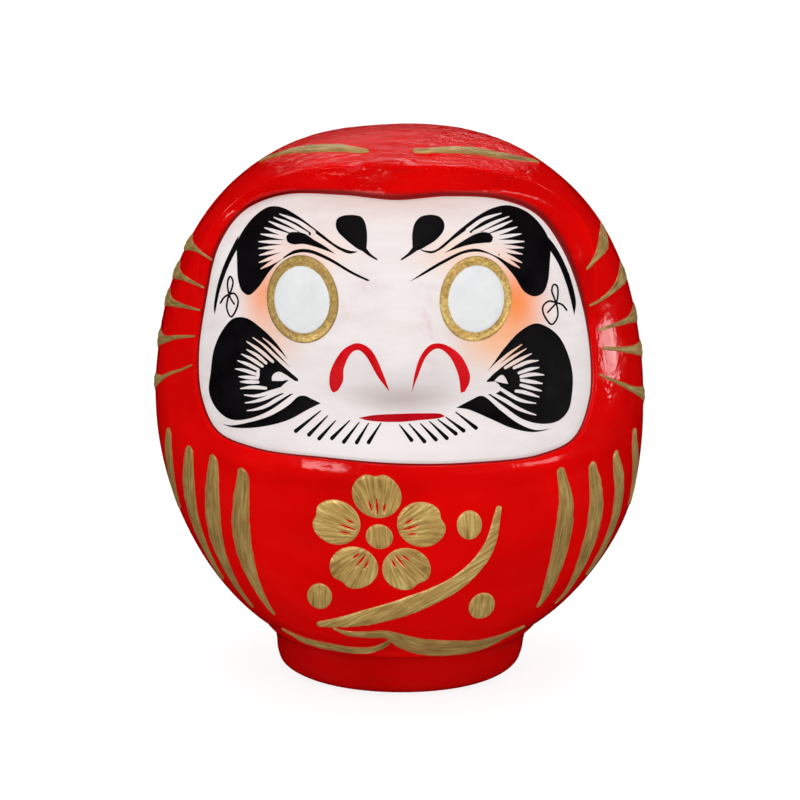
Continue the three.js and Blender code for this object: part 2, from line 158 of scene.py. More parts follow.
def wrinkles(point):
    """Fine creases on the crown, where the layers of paper gather."""
    x, y, z = point[..., 0], point[..., 1], point[..., 2]
    fold = 2.3 * y + 0.35 * x + 2.2 * np.sin(x / 9 + 1) + 1.2 * np.sin(x / 3.7 + y / 6)
    break_up = 0.55 + 0.45 * np.sin(x / 5.1 + 0.9 * y) * np.sin(x / 7.3 - y / 4 + 2)
    return WRINKLE_DEPTH * smooth(112.5, 116, z) * break_up * (1 - 2 * np.abs(np.sin(fold / 2)))


def clear_of_face(point):
    """0 at the hood's opening and 1 well away from it, where the shell may run unevenly."""
    x, y, z = point[..., 0], point[..., 1], point[..., 2]
    across, up = (x - FACE_CENTRE[0]) / 42, (z - FACE_CENTRE[1]) / 26
    reach = (np.abs(across) ** 3 + np.abs(up) ** 3) ** (1 / 3)
    return np.where(y < 0, smooth(1.0, 1.32, reach), 1.0)


def chin_lip(point):
    """A soft lip moulded along the lower edge of the hood's opening."""
    x, y, z = point[..., 0], point[..., 1], point[..., 2]
    level = 53.9 + 1.5 * (x / 36) ** 4
    in_front = smooth(44, 34, np.abs(x)) * (y < 0)
    return CHIN_LIP_RISE * in_front * hill(z, level, 2.5)


def on_body(direction, lift=0.0):
    """The point of the body in a direction from its middle, lifted off it."""
    reach = np.where(direction[..., 2] > 0, CROWN_RISE, BELLY_DROP)
    fullness = np.where(direction[..., 2] > 0, CROWN_FULLNESS, BELLY_FULLNESS)
    across = np.hypot(direction[..., 0] / HALF_WIDTH, direction[..., 1] / HALF_DEPTH)
    rise = np.abs(direction[..., 2] / reach)
    radius = (across ** fullness + rise ** fullness) ** (-1 / fullness)
    point = direction * radius[..., None]
    # the slope of the superellipse gives the way straight out of the surface
    level_pull = np.sign(direction[..., 2]) * (rise * radius) ** (fullness - 1) / reach
    side_pull = (across * radius) ** (fullness - 2)
    normal = np.stack([
        side_pull * point[..., 0] / HALF_WIDTH ** 2,
        side_pull * point[..., 1] / HALF_DEPTH ** 2,
        level_pull,
    ], -1)
    normal /= np.linalg.norm(normal, axis=-1, keepdims=True)
    point = point + MIDDLE
    half = np.hypot(point[..., 0] / HALF_WIDTH, point[..., 1] / HALF_DEPTH) * HALF_WIDTH
    near_foot = (point[..., 2] > FOOT_LEVELS[0]) & (point[..., 2] < FOOT_LEVELS[-1])
    wider = np.where(near_foot, np.maximum(foot_radius(point[..., 2]) / np.maximum(half, 1), 1), 1)
    point[..., :2] *= wider[..., None]
    free = clear_of_face(point)
    relief = unevenness(point) * free + wrinkles(point) + chin_lip(point) + lift
    moved = point + normal * relief[..., None]
    moved[..., 0] += sway(point) * free
    return moved


def over_body(points, lift):
    """Points moved onto the body, straight out from its middle, then lifted off it."""
    direction = points - MIDDLE
    direction /= np.linalg.norm(direction, axis=-1, keepdims=True)
    return on_body(direction, lift)


def on_belly(x, z, lift):
    return over_body(np.stack([x, -body_front(x, z), z], -1), lift)


def on_face(x, z, lift=0.0):
    """The point of the face at a place seen from the front, lifted off it."""
    step = 0.05
    slope_x = (face_front(x + step, z) - face_front(x - step, z)) / (2 * step)
    slope_z = (face_front(x, z + step) - face_front(x, z - step)) / (2 * step)
    normal = np.stack([-slope_x, -np.ones_like(slope_x), -slope_z], -1)
    normal /= np.linalg.norm(normal, axis=-1, keepdims=True)
    point = np.stack([x, -face_front(x, z), z], -1)
    return point + normal * (0.5 * unevenness(point) + lift)[..., None]


# ---- lines and outlines

def curve_through(points, closed=False, dense=16):
    """A smooth line through the points: a centripetal Catmull-Rom curve."""
    p = np.array(points, float)
    if closed:
        p = np.vstack([p[-1], p, p[:2]])
    else:
        p = np.vstack([2 * p[0] - p[1], p, 2 * p[-1] - p[-2]])
    line = []
    for a, b, c, d in zip(p, p[1:], p[2:], p[3:]):
        k = np.cumsum([0] + [max(1e-6, np.linalg.norm(v) ** 0.5) for v in (b - a, c - b, d - c)])
        t = np.linspace(k[1], k[2], dense, endpoint=False)[:, None]
        ab = ((k[1] - t) * a + (t - k[0]) * b) / (k[1] - k[0])
        bc = ((k[2] - t) * b + (t - k[1]) * c) / (k[2] - k[1])
        cd = ((k[3] - t) * c + (t - k[2]) * d) / (k[3] - k[2])
        abc = ((k[2] - t) * ab + (t - k[0]) * bc) / (k[2] - k[0])
        bcd = ((k[3] - t) * bc + (t - k[1]) * cd) / (k[3] - k[1])
        line.append(((k[2] - t) * abc + (t - k[1]) * bcd) / (k[2] - k[1]))
    if not closed:
        line.append(p[-2][None])
    return np.vstack(line)


def spaced(line, count, closed=False):
    """The line again with points an equal way apart."""
    if closed:
        line = np.vstack([line, line[:1]])
    way = np.concatenate([[0], np.cumsum(np.linalg.norm(np.diff(line, axis=0), axis=1))])
    stops = np.linspace(0, way[-1], count, endpoint=not closed)
    return np.stack([np.interp(stops, way, line[:, k]) for k in range(line.shape[1])], -1)


def length_of(line):
    return np.linalg.norm(np.diff(line, axis=0), axis=1).sum()


def outline(*runs, step=0.35):
    """A closed outline of smooth runs; each run starts at the corner where the last ended."""
    loop = []
    for run in runs:
        line = curve_through(run) if len(run) > 2 else np.array(run, float)
        count = max(2, round(length_of(line) / step) + 1)
        loop.append(spaced(line, count)[:-1])
    return np.vstack(loop)


def oval(x, z, half_x, half_z, count=120):
    turn = np.linspace(0, 2 * math.pi, count, endpoint=False)
    return np.stack([x + half_x * np.cos(turn), z + half_z * np.sin(turn)], -1)


def brush(points, widths, step=0.3):
    """The outline of a stroke with round ends, along the points, with a width at each."""
    line = curve_through(points) if len(points) > 2 else np.array(points, float)
    given = np.linspace(0, 1, len(widths))
    count = max(4, round(length_of(line) / step) + 1)
    line = spaced(line, count)
    share = np.linspace(0, 1, count)
    half = np.interp(share, given, widths) / 2
    along = np.gradient(line, axis=0)
    along /= np.linalg.norm(along, axis=1, keepdims=True)
    across = np.stack([-along[:, 1], along[:, 0]], -1)
    turns = np.radians([60, 30, 0, -30, -60])[:, None]
    end = line[-1] + half[-1] * (np.cos(turns) * along[-1] + np.sin(turns) * across[-1])
    start = line[0] - half[0] * (np.cos(turns) * along[0] + np.sin(turns) * across[0])
    left = line + across * half[:, None]
    right = line - across * half[:, None]
    return np.vstack([left, end, right[::-1], start])


# ---- mesh making

def cut_flat(work, level):
    """Cuts a mesh off below a level and closes it with one flat face."""
    cut = bmesh.ops.bisect_plane(work, geom=work.verts[:] + work.edges[:] + work.faces[:],
                                 plane_co=(0, 0, level), plane_no=(0, 0, 1), clear_inner=True)
    open_edges = [e for e in cut["geom_cut"] if isinstance(e, bmesh.types.BMEdge)]
    bmesh.ops.holes_fill(work, edges=open_edges, sides=0)
    bmesh.ops.recalc_face_normals(work, faces=work.faces)


def new_piece(name, vertices, faces, material, replaced, uv=None, rim=None, floor=None):
    """A closed smooth mesh in metres that rides on the doll and stands for CAD nodes.

    rim is 1 at the vertices on the very edge of a coat of paint, where it thins out; on the shell
    it marks the crease that the red darkens as painted shade.
    Below the level floor, in mm, the mesh is cut away.
    """
    mesh = bpy.data.meshes.new(name)
    mesh.from_pydata([tuple(v) for v in np.asarray(vertices) * MM], [], [tuple(f) for f in faces])
    if uv is not None:
        layer = mesh.uv_layers.new(name="brush")
        corners = np.empty(len(mesh.loops), int)
        mesh.loops.foreach_get("vertex_index", corners)
        layer.data.foreach_set("uv", np.asarray(uv, float)[corners].ravel())
    if rim is not None:
        mesh.attributes.new("rim", "FLOAT", "POINT").data.foreach_set("value", rim)
    work = bmesh.new()
    work.from_mesh(mesh)
    if work.calc_volume(signed=True) < 0:
        bmesh.ops.reverse_faces(work, faces=work.faces)
    if floor is not None:
        cut_flat(work, floor * MM)
    work.to_mesh(mesh)
    work.free()
    mesh.shade_smooth()
    mesh.set_sharp_from_angle(angle=SHARP)
    mesh.materials.append(material)
    piece = bpy.data.objects.new(name, mesh)
    bpy.context.scene.collection.objects.link(piece)
    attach(piece, "root")
    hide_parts(*replaced)


def rings_to_mesh(rings, first=None, last=None):
    """Vertices and faces of a skin over rings of points, closed by a point at either end."""
    count = rings.shape[1]
    vertices = list(rings.reshape(-1, 3))
    faces = []
    for i in range(len(rings) - 1):
        a, b = i * count, (i + 1) * count
        faces += [(a + k, b + k, b + (k + 1) % count, a + (k + 1) % count) for k in range(count)]
    for point, ring, flip in ((first, 0, False), (last, len(rings) - 1, True)):
        if point is None:
            continue
        tip = len(vertices)
        vertices.append(point)
        for k in range(count):
            a, b = ring * count + k, ring * count + (k + 1) % count
            faces.append((tip, b, a) if flip else (tip, a, b))
    return np.array(vertices), faces


def inside(points, loop):
    """Which of the points lie inside a closed loop."""
    found = np.zeros(len(points), bool)
    x, z = points[:, 0], points[:, 1]
    for (ax, az), (bx, bz) in zip(loop, np.roll(loop, -1, axis=0)):
        if az != bz:
            crosses = (az > z) != (bz > z)
            found ^= crosses & (x < ax + (z - az) / (bz - az) * (bx - ax))
    return found


def patch(name, adds, cuts, place, low, high, material, replaced, slot, grid=0.7, uv=None,
          over=()):
    """A thin coat of paint over some outlines less others, laid on a surface by place().

    The outlines in over are painted last, across the cuts. The coat is a closed sheet: its
    edge stands low and its middle high, so it has a soft rim, and its underside is just sunk
    into the surface.
    """
    loops = list(adds) + list(cuts) + list(over)
    everything = np.vstack(list(adds) + list(over))
    (x0, z0), (x1, z1) = everything.min(0), everything.max(0)
    # rows of dots in a triangular grid
    xs, zs = np.meshgrid(np.arange(x0, x1, grid), np.arange(z0, z1, grid * 0.87))
    xs[1::2] += grid / 2
    dots = np.stack([xs.ravel(), zs.ravel()], -1)
    points = np.vstack(loops + [dots])
    starts = np.cumsum([0] + [len(loop) for loop in loops])
    rims = [list(range(a, b)) for a, b in zip(starts, starts[1:])]
    flat, _, triangles, _, _, _ = delaunay_2d_cdt([Vector(p) for p in points], [], rims, 0, 1e-4)
    flat = np.array([tuple(v) for v in flat])
    triangles = np.array(triangles)
    middles = flat[triangles].mean(1)
    kept = np.zeros(len(triangles), bool)
    for loop in adds:
        kept |= inside(middles, loop)
    for loop in cuts:
        kept &= ~inside(middles, loop)
    for loop in over:
        kept |= inside(middles, loop)
    triangles = triangles[kept]
    used, triangles = np.unique(triangles, return_inverse=True)
    triangles = triangles.reshape(-1, 3)
    flat = flat[used]

    # an edge that only one triangle has lies on the rim
    once = {}
    for a, b, c in triangles:
        for edge in ((a, b), (b, c), (c, a)):
            if edge[::-1] in once:
                del once[edge[::-1]]
            else:
                once[edge] = True
    rim = np.zeros(len(flat), bool)
    rim[[v for edge in once for v in edge]] = True

    lift = np.where(rim, low, high)
    top = place(flat[:, 0], flat[:, 1], lift)
    bottom = place(flat[:, 0], flat[:, 1], np.full(len(flat), PATCH_ROOT))
    n = len(flat)
    faces = [(a, b, c) for a, b, c in triangles]
    faces += [(c + n, b + n, a + n) for a, b, c in triangles]
    faces += [(b, a, a + n, b + n) for a, b in once]
    coordinates = None
    if uv is not None:
        coordinates = np.tile(uv(flat[:, 0], flat[:, 1]), (2, 1))
    new_piece(name, np.vstack([top, bottom]), faces, material, replaced, coordinates,
              np.tile(rim.astype(float), 2))


# ---- materials

class Paint:
    """A material in the making: its nodes, and short calls to add and join them."""

    def __init__(self, name, **fixed):
        self.material = bpy.data.materials.new(name)
        self.material.use_nodes = True
        self.tree = self.material.node_tree
        self.shader = self.tree.nodes["Principled BSDF"]
        for socket, value in fixed.items():
            self.shader.inputs[socket.replace("_", " ")].default_value = value

    def feed(self, socket, value):
        """Links a node's output to a socket, or sets a number or colour on it."""
        if isinstance(value, bpy.types.NodeSocket):
            self.tree.links.new(value, socket)
        elif socket.type == "RGBA":
            socket.default_value = (*value, 1)
        else:
            socket.default_value = value

    def node(self, kind, **inputs):
        made = self.tree.nodes.new(kind)
        for key, value in inputs.items():
            self.feed(made.inputs[key.replace("_", " ")], value)
        return made

    def maths(self, kind, operation, *values):
        made = self.tree.nodes.new(kind)
        made.operation = operation
        for socket, value in zip(made.inputs, values):
            self.feed(socket, value)
        return made

    def math(self, operation, a, b):
        return self.maths("ShaderNodeMath", operation, a, b).outputs[0]

    def place(self, kind="Object", scale=(1, 1, 1), turn=(0, 0, 0)):
        where = self.node("ShaderNodeTexCoord").outputs[kind]
        return self.node("ShaderNodeMapping", Vector=where, Scale=scale, Rotation=turn).outputs[0]

    def noise(self, vector, scale, detail=3.0, roughness=0.55, distortion=0.0):
        made = self.node("ShaderNodeTexNoise", Vector=vector, Scale=scale, Detail=detail,
                         Roughness=roughness, Distortion=distortion)
        return made.outputs["Fac"]

    def remap(self, value, low, high, to_low=0.0, to_high=1.0):
        made = self.node("ShaderNodeMapRange", Value=value)
        made.interpolation_type = "SMOOTHSTEP"
        for key, number in (("From Min", low), ("From Max", high),
                            ("To Min", to_low), ("To Max", to_high)):
            made.inputs[key].default_value = number
        return made.outputs[0]

    def ramp(self, value, *stops):
        made = self.node("ShaderNodeValToRGB", Fac=value)
        elements = made.color_ramp.elements
        while len(elements) < len(stops):
            elements.new(0.5)
        for element, (position, colour) in zip(elements, stops):
            element.position = position
            element.color = (*colour, 1)
        return made.outputs[0]

    def mix(self, share, a, b):
        made = self.tree.nodes.new("ShaderNodeMix")
        made.data_type = "RGBA"
        # of the node's many sockets, these are the share and the two colours
        for index, value in ((0, share), (6, a), (7, b)):
            self.feed(made.inputs[index], value)
        return made.outputs[2]

    def near(self, centre, radius, stretch=(1, 1, 1)):
        """1 at a place on the doll, in mm, falling to 0 a radius away."""
        kind = "ShaderNodeVectorMath"
        where = self.node("ShaderNodeTexCoord").outputs["Object"]
        away = self.maths(kind, "SUBTRACT", where, tuple(c * MM for c in centre)).outputs[0]
        scaled = self.maths(kind, "MULTIPLY", away, stretch).outputs[0]
        size = self.maths(kind, "LENGTH", scaled).outputs["Value"]
        return self.remap(size, radius * MM, 0.0)

    def at_rim(self, strength):
        """The rim value that the mesh carries, times a strength."""
        made = self.node("ShaderNodeAttribute")
        made.attribute_name = "rim"
        return self.math("MULTIPLY", made.outputs["Fac"], strength)

    def cloudy(self, scale, dark, bright, gloss, grain):
        """Colour and roughness that drift together between two limits, with a fine grain.

        dark and bright are (noise value, colour), and gloss is the two roughnesses.
        """
        cloud = self.noise(self.place(), scale)
        self.join(self.ramp(cloud, dark, bright), "Base Color")
        self.join(self.remap(cloud, 0.3, 0.7, *gloss), "Roughness")
        self.relief(self.noise(self.place(), *grain), 0.05)

    def join(self, output, socket):
        self.tree.links.new(output, self.shader.inputs[socket])

    def relief(self, height, distance):
        made = self.node("ShaderNodeBump", Height=height, Distance=distance * MM, Strength=1.0)
        self.join(made.outputs[0], "Normal")


def lacquer(name, depth=1.0):
    """Thick glossy red: brushed unevenly, wrinkled where the paper gathers on the crown, and
    darkened as painted shade by depth and by the rim.
    """
    paint = Paint(name, Specular_IOR_Level=0.12)
    where = paint.place()
    level = paint.node("ShaderNodeSeparateXYZ", Vector=where).outputs["Z"]
    cloud = paint.noise(where, 45.0, 2.0)
    # a depth below 1 darkens the whole red, as painted shade
    red = paint.ramp(cloud, (0.3, (0.64 * depth, 0.0012, 0.001)),
                     (0.7, (0.80 * depth, 0.002, 0.0015)))
    # painted shade: along the rim attribute the red darkens to near black in the crease by the
    # face
    share = paint.at_rim(0.85)
    paint.join(paint.mix(share, red, (0.08, 0.001, 0.001)), "Base Color")
    smear = paint.noise(paint.place(scale=(0.4, 0.4, 1.4)), 260.0, 4.0)
    gloss = paint.remap(smear, 0.35, 0.7, 0.06, 0.15)
    paint.join(paint.math("ADD", gloss, paint.math("MULTIPLY", share, 0.6)), "Roughness")
    crown = paint.remap(level, 0.107, 0.116)
    creases = paint.noise(paint.place(scale=(0.6, 1.5, 1), turn=(0, 0, 0.5)), 300.0, 4.0, 0.6, 1.2)
    creases = paint.math("MULTIPLY", creases, crown)
    peel = paint.noise(where, 420.0, 2.0)
    sags = paint.noise(where, 90.0, 1.0)
    height = paint.math("ADD", paint.math("MULTIPLY", creases, 1.6),
                        paint.math("ADD", paint.math("MULTIPLY", peel, 0.22), sags))
    paint.relief(height, 0.5)
    return paint.material


def gofun():
    """Chalky white face coat, blushed peach under the hood, where the blush is partly painted
    shade, and orange beside the eyes.

    A blush or a painted shade has a middle in mm, a radius, a stretch by axis, a colour and a
    strength.
    """
    paint = Paint("white_gofun", Specular_IOR_Level=0.25)
    where = paint.place()
    streak = paint.noise(paint.place(scale=(0.35, 1, 1.6)), 190.0, 4.0, 0.6)
    colour = paint.ramp(streak, (0.3, (0.79, 0.71, 0.70)), (0.7, (0.86, 0.80, 0.79)))
    blushes_and_shade = (
        # partly a peach tint, partly painted shade under the hood's overhang
        ((0, -24, 110), 14, (0.4, 1, 1), (0.70, 0.48, 0.40), 0.6),
        ((23.3, -34, 87), 10.5, (1.1, 0.4, 0.75), (1.0, 0.24, 0.02), 1.0),
        ((18, -40, 80.5), 10, (0.8, 0.8, 1.1), (0.97, 0.42, 0.15), 0.75),
        ((-27.5, -33, 88), 8.5, (1.2, 0.7, 0.7), (0.95, 0.30, 0.09), 0.9),
        ((-25, -37, 80), 8, (0.8, 0.8, 1.0), (0.88, 0.48, 0.30), 0.6),
        ((14, -40, 98), 12, (0.8, 0.8, 1.6), (0.95, 0.50, 0.28), 0.6),
        ((-20, -36, 98), 12, (0.8, 0.8, 1.6), (0.95, 0.52, 0.33), 0.5),
        # painted shade: grey-pink below the nose, where the nose shades the face
        ((0, -46, 70), 13, (0.8, 0.5, 2.8), (0.42, 0.30, 0.28), 0.45),
        ((0, -46, 60), 12, (0.35, 0.5, 1.5), (0.88, 0.83, 0.82), 0.8),
    )
    for *spot, tint, strength in blushes_and_shade:
        amount = paint.math("MULTIPLY", paint.near(*spot), strength)
        colour = paint.mix(amount, colour, tint)
    # faint pink smeared on either side of the nose, partly painted shade on the nose's sides
    rubbed_pink_and_shade = paint.remap(paint.noise(paint.place(scale=(1, 1, 0.5)), 320.0, 3.0, 0.6), 0.5, 0.72)
    for centre in ((-8, -44, 88), (6.5, -45, 84)):
        amount = paint.math("MULTIPLY", paint.near(centre, 11, (1.6, 0.6, 0.8)), rubbed_pink_and_shade)
        colour = paint.mix(paint.math("MULTIPLY", amount, 0.55), colour, (0.72, 0.50, 0.52))
    paint.join(colour, "Base Color")
    paint.join(paint.remap(streak, 0.3, 0.7, 0.5, 0.68), "Roughness")
    grain = paint.noise(where, 700.0, 3.0)
    paint.relief(paint.math("ADD", paint.math("MULTIPLY", grain, 0.35), streak), 0.06)
    return paint.material


def eye_white():
    paint = Paint("eye_white", Specular_IOR_Level=0.1)
    paint.cloudy(260.0, (0.3, (0.73, 0.735, 0.74)), (0.7, (0.80, 0.805, 0.81)), (0.45, 0.6),
                 (500.0, 3.0))
    return paint.material


def ink():
    paint = Paint("black_ink", Specular_IOR_Level=0.025)
    paint.cloudy(170.0, (0.35, (0.0025, 0.002, 0.0025)), (0.75, (0.006, 0.005, 0.006)),
                 (0.28, 0.5), (420.0, 3.0))
    return paint.material


def red_ink(name, dark, bright):
    paint = Paint(name, Specular_IOR_Level=0.04)
    paint.cloudy(230.0, (0.3, dark), (0.7, bright), (0.3, 0.5), (500.0, 2.0))
    return paint.material


def gold(name, rim_colour, rim_strength, lightness=1.0, flakes=0.0, depth=0.16):
    """Metallic paint with the bristles' streaks along each stroke, from its UV in mm.

    flakes is how far the coarse gold powder shows through the streaks, from 0 to 1.
    """
    paint = Paint(name, Metallic=0.3, Specular_IOR_Level=0.4)
    along = paint.place("UV", scale=(0.16, 1.9, 1))
    streak = paint.noise(along, 1.0, 5.0, 0.6, 0.4)
    cloud = paint.noise(paint.place(), 150.0, 3.0)
    flake = paint.noise(paint.place(), 1500.0, 2.0, 0.7)
    shade = paint.math("ADD", paint.math("MULTIPLY", streak, 0.72 * (1 - flakes)),
                       paint.math("MULTIPLY", cloud, 0.28))
    shade = paint.math("ADD", shade, paint.math("MULTIPLY", flake, 0.72 * flakes))
    stops = (
        (0.34, (0.16, 0.09, 0.020)),
        (0.46, (0.31, 0.19, 0.050)),
        (0.56, (0.43, 0.285, 0.088)),
        (0.68, (0.66, 0.48, 0.19)),
    )
    stops = [(at, tuple(min(1.0, c * lightness) for c in colour)) for at, colour in stops]
    paint.join(paint.mix(paint.at_rim(rim_strength), paint.ramp(shade, *stops), rim_colour),
               "Base Color")
    paint.join(paint.remap(shade, 0.35, 0.65, 0.5, 0.34), "Roughness")
    paint.relief(shade, depth)
    return paint.material


RED = lacquer("red_lacquer")
# painted shade: the foot's red is two thirds as bright, for the shade near the floor
SHADED_FOOT_RED = lacquer("red_lacquer_foot_painted_shade", 0.66)
WHITE = gofun()
EYE_WHITE = eye_white()
BLACK = ink()
ROUGE = red_ink("rouge", (0.55, 0.002, 0.006), (0.74, 0.004, 0.010))
LIPS = red_ink("lip_red", (0.40, 0.001, 0.006), (0.54, 0.002, 0.010))
GILT = gold("gold_paint", (0.62, 0.22, 0.07), 0.55, 1.35)
BRIGHT_GILT = gold("gold_paint_bright", (0.80, 0.50, 0.20), 0.6, 1.85, depth=0.3)
EYE_GILT = gold("gold_paint_eye", (0.24, 0.15, 0.045), 0.7, 1.45, flakes=0.6)
PALE_GILT = gold("gold_paint_pale", (0.36, 0.26, 0.09), 0.55, 1.9, flakes=0.7)


# ---- hood, face and belly

AROUND = 360                   # points in each ring
CREASE_SHADE_RINGS = 2.2               # how many rings the painted crease shade fades over
CREST_RINGS = 12               # rings smoothed beyond the crest, and how often
CREST_SMOOTHING = 3
CLIMB = 4.5                    # how steeply the wall of the hood's rim starts
LIP_WIDTH = 0.9
ARCH_HALF_WIDTH = 47.5
ARCH_RISE = 56.0
HOOD_OPENING = curve_through([
    (-1, 107.3), (10, 107.9), (21, 106.8), (29, 103.2), (34.4, 96), (38.2, 85), (39.7, 73.5),
    (39.2, 66), (36, 59.2), (29, 56.8), (15, 56.4), (0, 56.6), (-15, 57.4), (-30, 58),
    (-38, 60.2), (-41.2, 66), (-42, 75), (-40.3, 87), (-38, 97), (-33, 103.6), (-24.5, 107.3),
    (-12, 108),
], closed=True)


def hood_crest(edge):
    """The line where the hood's flat edge turns over onto the body, beside the opening."""
    along = np.roll(edge, -1, axis=0) - np.roll(edge, 1, axis=0)
    along /= np.linalg.norm(along, axis=1, keepdims=True)
    outward = np.stack([-along[:, 1], along[:, 0]], -1)
    lip = edge + outward * LIP_WIDTH
    # over the brow the line is a flat-topped arch of its own, well above the opening
    reach = (np.abs(edge[:, 0] / ARCH_HALF_WIDTH) ** 3
             + np.abs((edge[:, 1] - WAIST_LEVEL) / ARCH_RISE) ** 3) ** (-1 / 3)
    arch = edge * reach[:, None]
    arch[:, 1] += WAIST_LEVEL * (1 - reach)
    share = smooth(78, 98, edge[:, 1])[:, None]
    return lip * (1 - share) + arch * share


def face_rings(count, share, lift):
    """Rings over the face, out to a share of the way to the hood; lift is by ring."""
    edge = spaced(HOOD_OPENING, AROUND, closed=True)
    rings = []
    for i in range(1, count + 1):
        place = FACE_CENTRE + (edge - FACE_CENTRE) * share * i / count
        rings.append(on_face(place[:, 0], place[:, 1], np.full(AROUND, lift(i / count))))
    return np.array(rings)


def middle_of_face(lift):
    return on_face(FACE_CENTRE[:1], FACE_CENTRE[1:], np.array([lift]))[0]


def make_body():
    """The shell in rings: out over the face, up the rim of the hood, then round to the back."""
    face_count, rim_count, body_count = 44, 20, 130
    face = face_rings(face_count, 1.0, lambda share: 0.0)
    edge = spaced(HOOD_OPENING, AROUND, closed=True)
    crest = hood_crest(edge)
    start = np.stack([crest[:, 0], -body_front(crest[:, 0], crest[:, 1]), crest[:, 1]], -1)
    start = start - MIDDLE
    start /= np.linalg.norm(start, axis=1, keepdims=True)
    pole = np.array([0, math.cos(FACE_AXIS_RISE), -math.sin(FACE_AXIS_RISE)])
    angle = np.arccos(np.clip(start @ pole, -1, 1))[:, None]
    body = []
    for i in range(body_count):
        share = (i / body_count) ** 1.5
        turned = np.sin((1 - share) * angle) * start + np.sin(share * angle) * pole
        body.append(on_body(turned / np.sin(angle), np.zeros(AROUND)))

    rim = []
    for i in range(1, rim_count):
        share = i / rim_count
        rim.append(face[-1] + (body[0] - face[-1]) * share)
        # the wall of the rim climbs steeply first, then rolls over onto the body
        climb = (1 - (1 - share) ** CLIMB) - share
        rim[-1][:, 1] += (body[0] - face[-1])[:, 1] * climb
    rings = np.concatenate([face, rim, body])

    first, last = face_count + 1, face_count + rim_count + CREST_RINGS
    for _ in range(CREST_SMOOTHING):
        middle = (rings[first - 1:last - 1] + 2 * rings[first:last] + rings[first + 1:last + 1])
        rings[first:last] = middle / 4
    back = on_body(pole[None], np.zeros(1))[0]
    vertices, faces = rings_to_mesh(rings, middle_of_face(0.0), back)
    # painted shade: a dark line in the crease where the red meets the white
    crease_shade = hill(np.arange(len(rings)), face_count, CREASE_SHADE_RINGS)
    crease_shade = np.append(np.repeat(crease_shade, AROUND), (0, 0))
    new_piece("lacquered_shell", vertices, faces, RED, ["body_shell"],
              rim=crease_shade, floor=FOOT_TOP)


def make_foot():
    """The clay weight: a low drum with a round lower edge, flared to meet the belly."""
    flat = [(0.01, STICK_HOLE_DEPTH), (STICK_HOLE_RADIUS, STICK_HOLE_DEPTH),
            (STICK_HOLE_RADIUS, 0.3), (STICK_HOLE_RADIUS + 0.3, 0.0)]
    side = spaced(curve_through([(FOOT_FLAT_RADIUS, 0), FOOT_EDGE, *FOOT_SIDE]), 34)
    under = spaced(np.array([flat[-1], (FOOT_FLAT_RADIUS, 0)], float), 12)[1:-1]
    lid = [(20, FOOT_TOP), (10, FOOT_TOP)]
    profile = np.vstack([flat, under, side, lid])
    turn = np.linspace(0, 2 * math.pi, 240, endpoint=False)
    rings = np.stack([
        profile[:, :1] * np.cos(turn), profile[:, :1] * np.sin(turn) * HALF_DEPTH / HALF_WIDTH,
        np.repeat(profile[:, 1:], len(turn), axis=1),
    ], -1)
    wobble = unevenness(rings) * smooth(21.2, 25, profile[:, 0])[:, None]
    rings[..., :2] *= (1 + wobble / FOOT_RADII[0])[..., None]
    rings[..., 0] += sway(rings) * smooth(4, FOOT_TOP, profile[:, 1])[:, None]
    vertices, faces = rings_to_mesh(rings, (0, 0, STICK_HOLE_DEPTH), (0, 0, FOOT_TOP))
    new_piece("lacquered_foot", vertices, faces, SHADED_FOOT_RED, ["base_weight"])


def make_face_coat():
    """The white coat: it stops just short of the hood and thins out there."""
    share_covered = 0.992

    def lift(share):
        return COAT * float(1 - smooth(0.975, 1.0, share)) + COAT_EDGE

    top = face_rings(110, share_covered, lift)
    under = face_rings(30, share_covered, lambda share: COAT_ROOT)[::-1]
    centre = [middle_of_face(COAT + COAT_EDGE), middle_of_face(COAT_ROOT)]
    vertices, faces = rings_to_mesh(np.concatenate([top, under]), *centre)
    new_piece("face_whitening", vertices, faces, WHITE, ["face_coat"])


make_body()
make_foot()
make_face_coat()


# ---- ink on the face
# Places are (x, z) in mm as seen from the front; x runs to the viewer's right.

def on_coat(x, z, lift):
    return on_face(x, z, COAT + COAT_EDGE + lift)


def ink_patch(name, adds, cuts, nodes, material=BLACK, slot="black_ink", over=()):
    patch(name, adds, cuts, on_coat, INK_EDGE, INK, material, nodes, slot, over=over)


def strokes(lines, *widths):
    """Brush outlines for several lines, each with these widths from its root to its tip."""
    return [brush(line, widths) for line in lines]


def looping(points, width, parts=6):
    """Brush outlines along a line that crosses itself, cut where no part meets itself."""
    line = curve_through(points)
    cuts = np.linspace(0, len(line) - 1, parts + 1).round().astype(int)
    return [brush(line[a:b + 1:3], (width, width)) for a, b in zip(cuts, cuts[1:])]


BROW_LEFT = (
    [(-8.6, 97.7), (-10.3, 97.8), (-12.8, 98.6), (-16.5, 100.8), (-20.8, 103.3), (-24.4, 104.7),
     (-27.2, 104.6), (-30, 102.9), (-32.4, 100.2), (-33.7, 97.6), (-33.5, 94.6), (-33.1, 91),
     (-32.2, 88.9), (-30.8, 88.3), (-29, 89.8), (-26.5, 93.2), (-24.5, 95.1), (-21.4, 96.7),
     (-18.5, 97), (-14.4, 95.8), (-9.6, 93.6), (-6.2, 92.4)],
    [(-6, 92.7), (-9.6, 94.1), (-14.4, 96.4), (-18.5, 97.6), (-21.4, 97.3), (-23.9, 95.8)],
    [(-23.9, 95.8), (-23.4, 97.6), (-23.1, 98.9), (-22.8, 100)],
    [(-22.8, 100), (-20.6, 100.4), (-18.2, 100.1)],
    [(-18.2, 100.1), (-18.2, 101.1)],
    [(-18.2, 101.1), (-14.4, 98.95), (-12.4, 97.9), (-10.3, 97.25), (-8.6, 97.6)],
)
